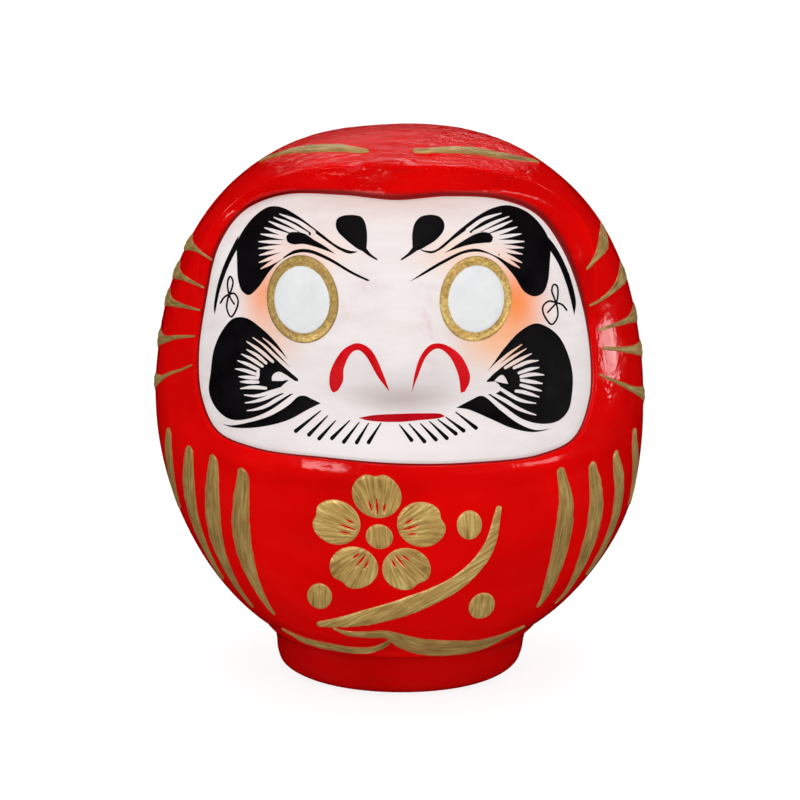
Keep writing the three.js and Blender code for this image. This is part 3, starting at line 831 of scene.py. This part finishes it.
BROW_LEFT_GAPS = (
    [(-24.9, 103.5), (-22.9, 103), (-20.7, 102.3), (-17.6, 100.7)],
    [(-26.1, 102.8), (-22.8, 101.9), (-19, 100.3)],
    [(-27.1, 102), (-23.9, 101.1), (-21.3, 100.4)],
    [(-28, 100.8), (-22.9, 99.8)],
    [(-28.7, 99.6), (-22.7, 99.3)],
    [(-29.1, 98.2), (-22.7, 98.6)],
    [(-29, 97), (-22.9, 97.9)],
    [(-28.8, 95.8), (-23.3, 97.4)],
    [(-28.8, 94.5), (-23.5, 96.6)],
    [(-28.4, 93.4), (-24.1, 95.9)],
)
BROW_LEFT_SPINDLE = (
    [(-23.3, 99.6), (-22.6, 100.3), (-21, 100.5), (-19.4, 100.3), (-17.6, 99.4), (-15.4, 98.4),
     (-13.1, 97.1)],
    [(-13.1, 97.1), (-17.5, 98.2), (-19.7, 98.5), (-21.8, 98.3), (-23, 98.7), (-23.3, 99.6)],
)
BROW_RIGHT = (
    [(4.1, 98.3), (5.4, 98), (7, 98), (9.3, 99.4), (12.2, 101.5), (16.4, 104), (19.4, 105.1),
     (22.5, 105.3), (26.5, 103.7), (29.6, 100.7), (31, 97.8), (30.8, 94.4), (30.2, 90.7),
     (29.2, 88.9), (27.4, 88.4), (25.3, 89.5), (23.3, 92.5), (20.9, 95.1), (18.5, 96.7),
     (15.8, 97.4), (12.9, 97.2), (9, 95.7), (5, 93.9), (1.8, 92.6)],
    [(1.8, 92.6), (5, 94.4), (9, 96.3), (12.9, 97.7), (15.8, 97.9), (20.3, 96.1)],
    [(20.3, 96.1), (19.3, 98.4), (18.4, 100.3)],
    [(18.4, 100.3), (16.6, 100.9), (14.2, 100.8)],
    [(14.2, 100.8), (14.3, 101.8)],
    [(14.3, 101.8), (10.5, 99.6), (8.4, 98.2), (6.4, 97.5), (4.1, 98.1)],
)
BROW_RIGHT_GAPS = (
    [(20.9, 104), (18.9, 103.6), (16.8, 103), (13.8, 101.3)],
    [(22.5, 103.3), (19.3, 102.4), (15.1, 100.8)],
    [(23.1, 102.5), (20.1, 101.6), (17.2, 100.7)],
    [(24.1, 101.3), (18.4, 100.1)],
    [(24.9, 100), (18.7, 99.6)],
    [(25.5, 98.6), (18.7, 99)],
    [(25.3, 97.5), (18.8, 98.4)],
    [(25, 96.4), (18.9, 98)],
    [(24.9, 94.9), (19.9, 97.3)],
    [(24.4, 94), (20.6, 96.4)],
)
BROW_RIGHT_SPINDLE = (
    [(19, 99.8), (18.4, 100.5), (17.2, 100.8), (15.5, 100.6), (12.9, 99.5), (9.1, 97.5)],
    [(9.1, 97.5), (12.9, 98.5), (14.9, 98.8), (17.2, 98.9), (18.7, 99), (19, 99.8)],
)
DROP_LEFT = ([
    (-6.9, 97.7), (-6.7, 99.2), (-6.7, 101), (-7.1, 102.8), (-7.9, 103.8), (-9.7, 104.1),
    (-11.6, 103.9), (-12.8, 103.3), (-13.1, 102.1), (-12.6, 101), (-11.3, 99.9), (-9.7, 98.8),
    (-8.2, 98), (-6.9, 97.7),
],)
DROP_RIGHT = ([
    (2.6, 97.9), (2.5, 99.4), (2.5, 101.1), (3, 102.8), (4.1, 103.9), (6.1, 104.3), (8.1, 103.9),
    (9, 102.8), (8.9, 101.5), (7.4, 99.9), (5.1, 98.7), (4.2, 98.3), (2.6, 97.9),
],)
TEMPLE_LEFT = (
    [(-33.5, 98.9), (-34.3, 97.5), (-36.3, 93.2), (-37.7, 88.6), (-38.2, 84.8), (-38, 83.7)],
    [(-38, 83.7), (-37.4, 86.7), (-36.8, 89.1), (-35.2, 93.4), (-33.6, 96.6)],
    [(-33.6, 96.6), (-33.5, 98.9)],
)
TEMPLE_RIGHT = (
    [(30.3, 99.3), (32.1, 97.2), (34.3, 93.2), (35.7, 89.1), (36.2, 86.2), (35.8, 83.9)],
    [(35.8, 83.9), (35, 87.4), (34.4, 89.6), (32.8, 93.7), (30.7, 97)],
    [(30.7, 97), (30.3, 99.3)],
)
CURL_WIDTH = 0.36
CURL_LEFT = [(-36.8, 86.1), (-36, 87.3), (-34.9, 88), (-33.9, 88.3), (-33.1, 87.3),
             (-33.2, 85.8), (-34.5, 83.7), (-35.4, 85.2), (-35.2, 87.2), (-34.4, 89.2),
             (-34.2, 90.6), (-34.8, 91.4), (-35.3, 90.4), (-35.2, 88.8), (-34.6, 87.2),
             (-33.8, 86.2)]
CURL_RIGHT = [(34.2, 85.1), (33.3, 86.2), (31.9, 86.8), (30.4, 87.2), (29.2, 86.3),
              (29.3, 84.8), (31, 82.6), (32.2, 83.9), (32.2, 85.8), (31.6, 87.7), (31.1, 89.2),
              (31.5, 90.3), (32.2, 90), (32.4, 88.6), (32, 86.8), (31, 85.8), (30.1, 85)]
BEARD_LEFT = (
    [(-20.7, 73.6), (-22.1, 75.6), (-25.2, 79.6), (-28.3, 82.2), (-31.3, 83.8), (-33.9, 83.5),
     (-36.2, 81), (-38.1, 76.9), (-38.9, 71.9), (-39.3, 68.1), (-38.2, 65.4), (-36, 63.5),
     (-34, 63.1), (-30.7, 63.8), (-26.5, 65.8), (-21.6, 69.6)],
    [(-21.6, 69.6), (-23.3, 69.4), (-24.7, 69.9)],
    [(-24.7, 69.9), (-24.1, 70.8), (-22.5, 72.3)],
    [(-22.5, 72.3), (-20.6, 72.2)],
    [(-20.6, 72.2), (-20.7, 73.6)],
)
BEARD_LEFT_GAPS = (
    [(-27.8, 80.2), (-26.2, 79.1), (-22.7, 75.9), (-20.4, 73.4)],
    [(-29.9, 80.1), (-27.7, 78.8), (-25.6, 77.1), (-20.5, 73)],
    [(-31.2, 79.2), (-28.5, 77.7), (-25.8, 75.7)],
    [(-31.2, 77.6), (-29.2, 76.7), (-27.2, 75.3)],
    [(-32.3, 76.6), (-30.2, 75.8), (-28, 74.6)],
    [(-33.1, 75.2), (-31.1, 74.7), (-28.8, 73.8)],
    [(-33.6, 73.5), (-31.7, 73.4), (-29.1, 72.8)],
    [(-32.9, 72), (-29, 72.1)],
    [(-32.6, 71), (-28.9, 71.3)],
    [(-32.6, 69.6), (-30.9, 70), (-29.2, 70.2), (-27.3, 70.2)],
    [(-31.8, 68.4), (-29.6, 68.4), (-27.5, 69), (-25.8, 69.7), (-23.9, 70.5)],
    [(-31.6, 66.8), (-29.6, 67.3), (-27.5, 68.1), (-25.4, 69.2), (-23.5, 70.1)],
    [(-31.2, 65.3), (-29.2, 65.8), (-27.1, 66.7), (-25, 68.1), (-22.5, 69.7)],
    [(-28.8, 74.1), (-29, 72.1)],
)
BEARD_LEFT_DROP = (
    [(-26, 71.8), (-26, 72.7), (-25.3, 73.5), (-24.4, 73.8), (-23.3, 73.4), (-20.4, 71.7)],
    [(-20.4, 71.7), (-22.5, 72.3), (-23.9, 72), (-26, 71.8)],
)
BEARD_RIGHT = (
    [(16.8, 73.4), (18.8, 75.9), (21.2, 78.9), (24.3, 81.8), (27.5, 83.1), (30.2, 82.1),
     (32.6, 79.9), (34.3, 76.5), (35.3, 72.5), (35.2, 68.2), (34.4, 65), (32.4, 63.2),
     (29.2, 62.9), (25, 64.2), (20.8, 67.3), (17.8, 69.8)],
    [(17.8, 69.8), (19.4, 69.9), (20.1, 70.2)],
    [(20.1, 70.2), (20.2, 71.3), (19.2, 72.3)],
    [(19.2, 72.3), (17.6, 72.3)],
    [(17.6, 72.3), (16.8, 73.4)],
)
BEARD_RIGHT_GAPS = (
    [(24.7, 79.2), (21.9, 77.5), (19.2, 75.4), (16.7, 73.1)],
    [(25.6, 78.3), (22.3, 76.6), (19, 74.4), (17.3, 72.8)],
    [(26.7, 77.2), (24.1, 76.2), (21.3, 74.9)],
    [(28.1, 75.7), (26, 75.6), (23.1, 74.7)],
    [(28.3, 74.3), (26.2, 74.1), (24.1, 73.6)],
    [(29.3, 72.7), (27.5, 73), (26, 73), (24.5, 72.8)],
    [(29, 71), (24.6, 72.1)],
    [(28.8, 69.5), (24.5, 71.1)],
    [(28.3, 68.3), (26.4, 69.1), (24.8, 69.7), (23.5, 70)],
    [(27.6, 67.1), (25.6, 67.6), (23.7, 68.4), (21.9, 69.6), (19.8, 71.1)],
    [(27.6, 64.8), (25.6, 65.6), (23.5, 66.7), (21.5, 68.1), (18.6, 69.9)],
)
BEARD_RIGHT_DROP = (
    [(19, 72.4), (20, 73.3), (20.7, 73.5), (21.3, 72.9), (21.9, 71.6)],
    [(21.9, 71.6), (20.6, 71.9), (19, 72.4)],
)
MOUSTACHE_LEFT = (
    [(-36.5, 61.9), (-35, 61.6), (-33.2, 61.6), (-28.4, 62.4), (-22.9, 64.2), (-18.4, 66.8),
     (-16, 68.1)],
    [(-16, 68.1), (-17.7, 68.8), (-19.4, 69.4), (-20.6, 69.1), (-22.5, 67.3), (-26.3, 64.8),
     (-30.9, 63), (-34.8, 61.9), (-36.5, 61.9)],
)
MOUSTACHE_RIGHT = (
    [(11.3, 67.5), (14.3, 68.9), (16.2, 69.6), (17.3, 69.2), (20.2, 66.5), (24, 63.5),
     (27.5, 61.9), (30.8, 61.8)],
    [(30.8, 61.8), (27.3, 61.5), (22.7, 62.7), (18.2, 64.9), (13.7, 67), (11.3, 67.5)],
)
WHISKERS_LEFT = (
    [(-16, 66.6), (-21.1, 62.3)], [(-14.6, 65.7), (-18.4, 61.8)], [(-13, 64.8), (-16.3, 61.2)],
    [(-10.1, 65), (-13.7, 61.4)], [(-8.2, 64.7), (-11.3, 60.8)], [(-6.3, 64.6), (-8.7, 60.8)],
    [(-3.8, 64.7), (-6.3, 60.9)],
)
WHISKERS_RIGHT = (
    [(-0.1, 64.4), (2.3, 61.4)], [(1.8, 64.6), (4.9, 61.1)], [(4.1, 64.6), (7.2, 61.4)],
    [(5.9, 65), (9.4, 61.6)], [(7.6, 65.3), (11.2, 62.4)], [(9.2, 65.7), (12.8, 62.9)],
    [(11.2, 66.6), (15.3, 63.3)],
)
NOSTRIL_LEFT = (
    [(-12.4, 71), (-13.4, 70.5), (-14.1, 71.6), (-14, 74.6), (-12.2, 78.2), (-10.6, 79.8),
     (-8.3, 80.7), (-6.1, 80), (-4.7, 78.4), (-3.2, 75.2), (-2, 71.6)],
    [(-2, 71.6), (-4.3, 74.7), (-6.6, 78.3), (-8.2, 79.4), (-9.6, 78.8), (-11.2, 75.6),
     (-11.4, 73), (-12.4, 71)],
)
NOSTRIL_RIGHT = (
    [(2.3, 71.5), (3, 76), (4.1, 78.8), (6, 80.6), (8.4, 80.6), (11.9, 78.3), (14, 74.2),
     (13.9, 72.4), (13, 70.7)],
    [(13, 70.7), (12.2, 70.5)],
    [(12.2, 70.5), (11.6, 74.4), (9.6, 78.4), (7.4, 79.8), (5.3, 78.7), (3.2, 74.2), (2.3, 71.5)],
)
MOUTH = (
    [(-8.3, 65.6), (-5.2, 66.3), (-0.1, 66.7), (4.9, 66.7), (8.3, 66.4), (9, 65.9)],
    [(9, 65.9), (8, 65.6), (3.9, 65.3), (-0.1, 65), (-4.1, 65), (-6.6, 65.2), (-8.3, 65.6)],
)

for side, brow, gaps, spindle in (
    ("left", BROW_LEFT, BROW_LEFT_GAPS, BROW_LEFT_SPINDLE),
    ("right", BROW_RIGHT, BROW_RIGHT_GAPS, BROW_RIGHT_SPINDLE),
):
    ink_patch(f"inked_brow_{side}", [outline(*brow)], strokes(gaps, 0.2, 0.62, 0.76, 0.8),
              [f"brow_{side}"], over=[outline(*spindle)])

for side, drop, tail in (
    ("left", DROP_LEFT, [(-7.3, 98.2), (-6.2, 97.3), (-4.7, 96.5)]),
    ("right", DROP_RIGHT, [(3, 98.4), (1.8, 97.5), (0.3, 96.6)]),
):
    ink_patch(f"inked_drop_{side}", [outline(*drop), brush(tail, (1.0, 0.5, 0.3))], [],
              [f"brow_drop_{side}"])

for side, temple, curl in (
    ("left", TEMPLE_LEFT, CURL_LEFT),
    ("right", TEMPLE_RIGHT, CURL_RIGHT),
):
    ink_patch(f"inked_temple_{side}", [outline(*temple)], [], [f"temple_line_{side}"])
    ink_patch(f"inked_curl_{side}", looping(curl, CURL_WIDTH), [], [f"ear_curl_{side}"])

for side, beard, gaps, drop in (
    ("left", BEARD_LEFT, BEARD_LEFT_GAPS, BEARD_LEFT_DROP),
    ("right", BEARD_RIGHT, BEARD_RIGHT_GAPS, BEARD_RIGHT_DROP),
):
    ink_patch(f"inked_beard_{side}", [outline(*beard)],
              strokes(gaps, 0.22, 0.66, 0.8, 0.62) + [outline(*drop)], [f"beard_{side}"])

for side, leaf, whiskers in (
    ("left", MOUSTACHE_LEFT, WHISKERS_LEFT),
    ("right", MOUSTACHE_RIGHT, WHISKERS_RIGHT),
):
    ink_patch(f"inked_moustache_{side}", [outline(*leaf)], [], [f"moustache_{side}"])
    ink_patch(f"inked_whiskers_{side}", strokes(whiskers, 0.22, 0.5, 0.78), [], [])

for side, nostril in (("left", NOSTRIL_LEFT), ("right", NOSTRIL_RIGHT)):
    ink_patch(f"painted_nostril_{side}", [outline(*nostril)], [], [f"nostril_{side}"], ROUGE,
              "rouge")
ink_patch("painted_mouth", [outline(*MOUTH)], [], ["mouth"], LIPS, "lip_red")


# ---- eyes

RING_RADIUS = 7.8              # turns an angle round the ring into mm along it
RING_UNDER_WHITE = 0.15        # how far the gold ring runs on under the white


def make_eye(side, ring, white, paint):
    """A blank white eye in a broad brushed ring of gold: x, z, half width, half height."""
    x, z = ring[:2]
    hole = oval(*white[:2], *(half - RING_UNDER_WHITE for half in white[2:]))

    def round_the_ring(px, pz):
        turn = np.arctan2(pz - z, px - x)
        return np.stack([turn * RING_RADIUS, np.hypot(px - x, pz - z)], -1)

    patch(f"gilded_ring_{side}", [oval(*ring)], [hole], on_coat, *RING_EDGE_TO_MIDDLE, paint,
          [f"eye_ring_{side}"], "gold_paint", grid=0.55, uv=round_the_ring)
    patch(f"painted_eye_{side}", [oval(*white)], [], on_coat, *WHITE_EDGE_TO_MIDDLE, EYE_WHITE,
          [f"eye_white_{side}"], "eye_gofun", grid=0.6)


make_eye("left", (-19.7, 88.2, 7.35, 8.3), (-19.8, 88.15, 5.7, 6.4), EYE_GILT)
make_eye("right", (15.25, 88.6, 7.35, 8.05), (15.35, 88.6, 5.75, 6.35), PALE_GILT)


# ---- gold strokes on the robe

def robe_point(turn, level):
    """The point of the plain body at a turn from the front, in degrees, and a level."""
    angle = np.radians(turn)
    size = girth(level)
    return np.stack([HALF_WIDTH * size * np.sin(angle), -HALF_DEPTH * size * np.cos(angle),
                     np.asarray(level, float)], -1)


def gold_stroke(name, points, node, seed, side=1):
    """A thick streaked stroke along (turn, level, width) points, rounded in section."""
    blunt, raggedness = 0.5, 0.05
    points = np.array(points, float)
    line = curve_through(robe_point(points[:, 0] * side, points[:, 1]))
    count = max(12, round(length_of(line) / 0.45))
    line = spaced(line, count)
    share = np.linspace(0, 1, count)
    given = np.linspace(0, 1, len(points))
    width = np.interp(share, given, points[:, 2])
    width = np.convolve(np.pad(width, 4, mode="edge"), np.ones(9) / 9, mode="valid")
    way = share * length_of(line)
    for reach, distance in ((width[0] * blunt, way), (width[-1] * blunt, way[-1] - way)):
        width = width * np.sqrt(np.clip(1 - (1 - np.clip(distance / reach, 0.02, 1)) ** 2, 0, 1))
    chance = np.random.default_rng(seed)
    ragged = [chance.normal(size=count // 3 + 2) for _ in range(2)]
    ragged = [np.interp(share, np.linspace(0, 1, len(r)), r) * raggedness for r in ragged]

    along = np.gradient(line, axis=0)
    along /= np.linalg.norm(along, axis=1, keepdims=True)
    outward = line - MIDDLE
    across = np.cross(along, outward)
    across /= np.linalg.norm(across, axis=1, keepdims=True)
    columns = np.linspace(-1, 1, 11)
    edge = width / 2
    rows = []
    coordinates = []
    for k, column in enumerate(columns):
        wobble = ragged[0] if column < 0 else ragged[1]
        offset = column * edge * (1 + wobble * abs(column))
        bristle = 0.05 * math.sin(9.0 * column + seed) * (1 - column * column)
        height = GOLD * (1 - abs(column) ** 3) * np.clip(edge / 0.9, 0.35, 1) + bristle + 0.04
        rows.append(over_body(line + across * offset[:, None], height))
        coordinates.append(np.stack([way + 17 * seed, offset], -1))
    sunk = [over_body(line + across * (column * edge)[:, None], np.full(count, STROKE_ROOT))
            for column in columns[::-1]]
    rings = np.stack(rows + sunk, 1)
    uv = np.stack(coordinates + coordinates[::-1], 1).reshape(-1, 2)
    vertices, faces = rings_to_mesh(rings, rings[0].mean(0), rings[-1].mean(0))
    uv = np.vstack([uv, uv[:1], uv[-1:]])
    both = np.concatenate([columns, columns[::-1]])
    at_end = np.clip(1 - np.minimum(way, way[-1] - way) / 0.5, 0, 1)
    rim = np.maximum(smooth(0.62, 1, np.abs(both))[None], at_end[:, None]).ravel()
    new_piece(name, vertices, faces, GILT, [node], uv, np.append(rim, (1, 1)))


RAYS = {
    "left": (
        [(59, 94.1, 0.4), (66, 94.7, 0.6), (74, 95, 1.3), (81, 94.9, 2.8), (92, 94.4, 4.6)],
        [(58, 88.5, 0.4), (63, 88.8, 0.7), (70, 89, 1.3), (78, 88.9, 3.0), (92, 88.6, 4.6)],
        [(57, 84, 0.4), (62, 83.9, 0.8), (69, 83.7, 1.4), (76, 83.3, 3.0), (92, 82.6, 4.6)],
        [(57, 78.7, 0.4), (62, 78, 0.8), (68, 77, 1.4), (75, 75.6, 3.4), (92, 73.4, 4.8)],
        [(56.5, 72.8, 0.4), (62, 71, 0.6), (68, 69.4, 1.1), (75, 67.2, 3.4), (92, 63.6, 4.8)],
    ),
    "right": (
        [(56.5, 92.4, 0.4), (60, 93.2, 1.1), (66, 94.5, 2.4), (73, 95.8, 3.8), (82, 97.2, 3.2),
         (90, 98.2, 1.6)],
        [(53, 85.4, 0.4), (59, 86, 0.8), (66, 86.9, 1.7), (73, 87.7, 3.4), (90, 88.8, 4.6)],
        [(54.5, 80.2, 0.6), (61, 80.3, 0.8), (69, 80.1, 1.4), (76, 79.9, 3.2), (92, 79.2, 4.6)],
        [(55, 76.4, 0.7), (62, 75.4, 1.0), (70, 74.1, 1.8), (77, 73.1, 3.2), (92, 71, 4.6)],
        [(52.5, 71.4, 0.4), (57, 69.8, 0.9), (63.5, 67.7, 1.5), (70, 65.7, 2.8), (92, 60.4, 4.8)],
    ),
}
FOLDS = {
    "left": (
        [(38.1, 53.6, 2.4), (38.7, 50.9, 3.9), (40.3, 46.3, 4.6), (42.2, 41, 5.4),
         (43.6, 36.6, 4.9), (44.6, 30, 3.7), (45, 24, 2.6), (45.3, 18.6, 0.8)],
        [(47.1, 55.2, 2.4), (48, 52.4, 3.9), (50.5, 45.3, 4.8), (53, 39.6, 5.3),
         (55.3, 34.4, 5.2), (56.6, 28, 4.3), (57.4, 22.5, 3.0), (57, 18.6, 1.2)],
        [(56.4, 55.6, 2.5), (57.6, 53, 4.4), (60.2, 47, 5.4), (63.3, 40.5, 5.6),
         (65.2, 34, 5.0), (66.3, 28.5, 3.8), (67.4, 23.6, 1.8)],
        [(67.6, 57.6, 2.8), (69.2, 54, 4.8), (71.5, 48.8, 5.4), (74, 43.4, 4.8),
         (75.6, 38.6, 2.8)],
    ),
    "right": (
        [(38, 53.8, 1.6), (39.3, 50.6, 3.0), (40.7, 46.8, 4.4), (41.6, 41, 4.9),
         (42.5, 34.6, 4.8), (44, 28.8, 4.2), (46, 23.4, 3.2), (46.4, 20.4, 1.2)],
        [(48.5, 53.6, 2.0), (49.3, 51, 4.0), (51.4, 46, 5.1), (53.2, 39.4, 5.3),
         (54.6, 32.4, 5.0), (57, 26.6, 4.2), (58.6, 21.8, 2.6), (57.8, 19.4, 1.0)],
        [(59, 54.3, 2.4), (59.8, 51.4, 4.6), (63, 46, 5.6), (65.8, 38.4, 5.6),
         (66.8, 31, 4.6), (67.2, 24.6, 2.0)],
        [(71.3, 57, 2.8), (72.2, 53.4, 4.8), (75, 49, 5.2), (77.5, 43.5, 4.4),
         (79, 38.5, 2.2)],
    ),
}
CROWN_LINES = {
    "left": [(16.9, 116.5, 1.6), (21.6, 116.5, 2.8), (30, 116.7, 4.0), (42, 116.7, 4.1),
             (55, 116.3, 3.6), (67, 115.7, 2.8), (77, 114.3, 2.0), (88, 112.2, 1.0)],
    "right": [(6.8, 116.5, 1.5), (12, 116.5, 2.6), (20, 116.6, 3.2), (30, 116.6, 3.5),
              (42, 116.3, 3.3), (53, 115.5, 2.5), (66, 114.2, 1.8), (82, 112.4, 1.0)],
}
UPPER_WAVE = [(-22.7, 17.9, 0.5), (-18, 16.8, 2.2), (-11, 16.8, 2.6), (-5, 17, 3.0),
              (0, 15.4, 5.4), (5, 13.9, 7.2), (12, 12.8, 7.8), (20, 12.1, 7.4), (30, 11.7, 6.8),
              (39, 12.2, 6.0), (45, 13.3, 4.6), (51, 14.9, 1.6)]
LOWER_WAVE = [(-51.8, 13.8, 0.8), (-46, 11.8, 3.2), (-38, 11.4, 3.8), (-28, 11.5, 3.8),
              (-20, 11.5, 3.6), (-12, 12.2, 3.0), (-7.5, 13.4, 2.0), (-3.8, 15.3, 0.8)]

for name, side in (("left", -1), ("right", 1)):
    for k, points in enumerate(RAYS[name], 1):
        gold_stroke(f"gold_ray_{k}_{name}", points, f"ray_{k}_{name}", seed=k, side=side)
    for k, points in enumerate(FOLDS[name], 1):
        gold_stroke(f"gold_fold_{k}_{name}", points, f"fold_{k}_{name}", seed=10 + k, side=side)
    gold_stroke(f"gold_crown_line_{name}", CROWN_LINES[name], f"crown_line_{name}", seed=20,
                side=side)
gold_stroke("gold_wave_upper", UPPER_WAVE, "hem_wave_upper", seed=31)
gold_stroke("gold_wave_lower", LOWER_WAVE, "hem_wave_lower", seed=32)


# ---- the flowering sprig

BLOSSOM = (-5.0, 40.9)
PETAL_REACH = 9.2
PETAL_RADIUS = 5.0
NOTCH_DEPTH = 0.16             # a share of the petal's radius
NOTCH_WIDTH = 0.32             # in radians
HEART_RADIUS = 2.8
TWIG = ([(-17, 18.6), (-9, 20.9), (1, 24.6), (11, 30.2), (17, 37.5), (19.6, 46.5)],
        (1.6, 4.0, 4.4, 3.6, 2.6, 1.2))
BUDS = ((13.4, 43.4, 3.2), (16.4, 23.6, 3.4), (-17.4, 26, 3.2))


def gold_patch(name, adds, node, uv, cuts=()):
    patch(name, adds, cuts, on_belly, GOLD_EDGE, GOLD, BRIGHT_GILT, [node], "gold_paint",
          grid=0.5, uv=uv)


def petal(k):
    """One petal of the blossom: a round dab, notched at its outer edge."""
    angle = math.pi / 2 + k * 2 * math.pi / 5
    turn = np.linspace(0, 2 * math.pi, 90, endpoint=False)
    off_centre = (turn + math.pi) % (2 * math.pi) - math.pi
    radius = PETAL_RADIUS * (1 - NOTCH_DEPTH * hill(off_centre, 0, NOTCH_WIDTH))
    x = BLOSSOM[0] + PETAL_REACH * math.cos(angle) + radius * np.cos(turn + angle)
    z = BLOSSOM[1] + PETAL_REACH * math.sin(angle) + radius * np.sin(turn + angle)

    def outwards(px, pz):
        dx, dz = px - BLOSSOM[0], pz - BLOSSOM[1]
        return np.stack([np.hypot(dx, dz) + 9 * k, np.arctan2(dz, dx) * 8], -1)

    # three bare lines where the bristles parted
    way = np.array([math.cos(angle), math.sin(angle)])
    aside = np.array([-way[1], way[0]])
    bare = [
        brush([BLOSSOM + way * near + aside * spread * near / 12,
               BLOSSOM + way * far + aside * spread * far / 12], (0.22, 0.5, 0.2))
        for near, far, spread in ((5.2, 8.4, 0.2), (6.0, 7.8, 2.6), (5.8, 7.4, -2.4))
    ]
    gold_patch(f"gold_petal_{k + 1}", [np.stack([x, z], -1)], f"petal_{k + 1}", outwards, bare)


for k in range(5):
    petal(k)
gold_patch("gold_heart", [oval(*BLOSSOM, HEART_RADIUS, HEART_RADIUS)], "blossom_heart",
           lambda x, z: np.stack([z, x], -1))
gold_patch("gold_twig", [brush(*TWIG)], "twig",
           lambda x, z: np.stack([x * 0.85 + z * 0.53, x * -0.53 + z * 0.85], -1))
for k, (x, z, radius) in enumerate(BUDS, 1):
    gold_patch(f"gold_bud_{k}", [oval(x, z, radius * 0.8, radius)], f"bud_{k}",
               lambda px, pz: np.stack([pz, px], -1))


# ---- floor, light and camera

def area_light(name, place, aim, size, power):
    """A soft light that is only seen as a highlight on the gloss."""
    data = bpy.data.lights.new(name, "AREA")
    data.shape = "RECTANGLE"
    data.size, data.size_y = size
    data.energy = power
    light = bpy.data.objects.new(name, data)
    light.location = place
    light.rotation_euler = (Vector(aim) - Vector(place)).to_track_quat("-Z", "Y").to_euler()
    light.visible_diffuse = False
    bpy.context.scene.collection.objects.link(light)


def make_floor():
    """Plain white, and left out of reflections and bounced light so that it tints nothing."""
    bpy.ops.mesh.primitive_plane_add(size=12, location=(0, 0, 0))
    floor = bpy.context.object
    floor.name = "studio_floor"
    paint = Paint("studio_white", Roughness=0.9, Specular_IOR_Level=0.0, Emission_Strength=0.85)
    paint.shader.inputs["Base Color"].default_value = (0.25, 0.25, 0.25, 1)
    paint.shader.inputs["Emission Color"].default_value = (1, 1, 1, 1)
    floor.data.materials.append(paint.material)
    floor.visible_diffuse = False
    floor.visible_glossy = False


def make_camera():
    data = bpy.data.cameras.new("camera")
    data.lens = CAMERA_LENS
    data.sensor_width = CAMERA_SENSOR
    data.clip_start = 0.01
    data.clip_end = 50
    camera = bpy.data.objects.new("camera", data)
    back = Vector((0, -math.cos(CAMERA_RISE), math.sin(CAMERA_RISE)))
    camera.location = (Vector((0, 0, CAMERA_AIM)) + back * CAMERA_DISTANCE) * MM
    camera.rotation_euler = (-back).to_track_quat("-Z", "Y").to_euler()
    bpy.context.scene.collection.objects.link(camera)
    bpy.context.scene.camera = camera


def make_world():
    """A white room, dim at eye level and bright overhead, that the gloss doesn't mirror."""
    world = bpy.data.worlds.new("studio")
    bpy.context.scene.world = world
    world.use_nodes = True
    tree = world.node_tree
    way = tree.nodes.new("ShaderNodeTexCoord").outputs["Generated"]
    level = tree.nodes.new("ShaderNodeSeparateXYZ")
    tree.links.new(way, level.inputs[0])
    ramp = tree.nodes.new("ShaderNodeMapRange")
    ramp.interpolation_type = "SMOOTHSTEP"
    for key, value in (("From Min", 0.0), ("From Max", 0.9), ("To Min", 0.5), ("To Max", 1.0)):
        ramp.inputs[key].default_value = value
    tree.links.new(level.outputs["Z"], ramp.inputs["Value"])
    tree.links.new(ramp.outputs[0], tree.nodes["Background"].inputs["Strength"])
    tree.nodes["Background"].inputs["Color"].default_value = (1, 1, 1, 1)
    world.cycles_visibility.glossy = False


SUN_SPREAD = math.radians(35)


def sun(name, way, power):
    """Broad even light that leaves no highlight of its own."""
    data = bpy.data.lights.new(name, "SUN")
    data.energy = power
    data.angle = SUN_SPREAD
    light = bpy.data.objects.new(name, data)
    light.rotation_euler = Vector(way).to_track_quat("Z", "Y").to_euler()
    light.visible_glossy = False
    bpy.context.scene.collection.objects.link(light)


make_floor()
make_world()
make_camera()
sun("sun_left", (-0.8, -1.0, 0.15), 1.0)
sun("sun_right", (0.8, -1.0, 0.15), 0.96)
area_light("softbox_left", (-0.62, -0.94, 0.09), (0, 0, 0.06), (0.42, 0.17), 4.5)
area_light("softbox_right", (0.86, -0.46, 0.10), (0, 0, 0.06), (0.34, 0.18), 2.6)
area_light("window_right", (0.80, 0.38, 0.075), (0, 0, 0.06), (0.22, 0.14), 0.8)
area_light("softbox_top", (0.0, -0.06, 0.85), (0, 0, 0.1), (0.55, 0.05), 1.3)
area_light("softbox_back", (0.0, 0.78, 0.62), (0, 0, 0.1), (0.8, 0.12), 1.5)
bpy.context.scene.view_settings.view_transform = "Standard"
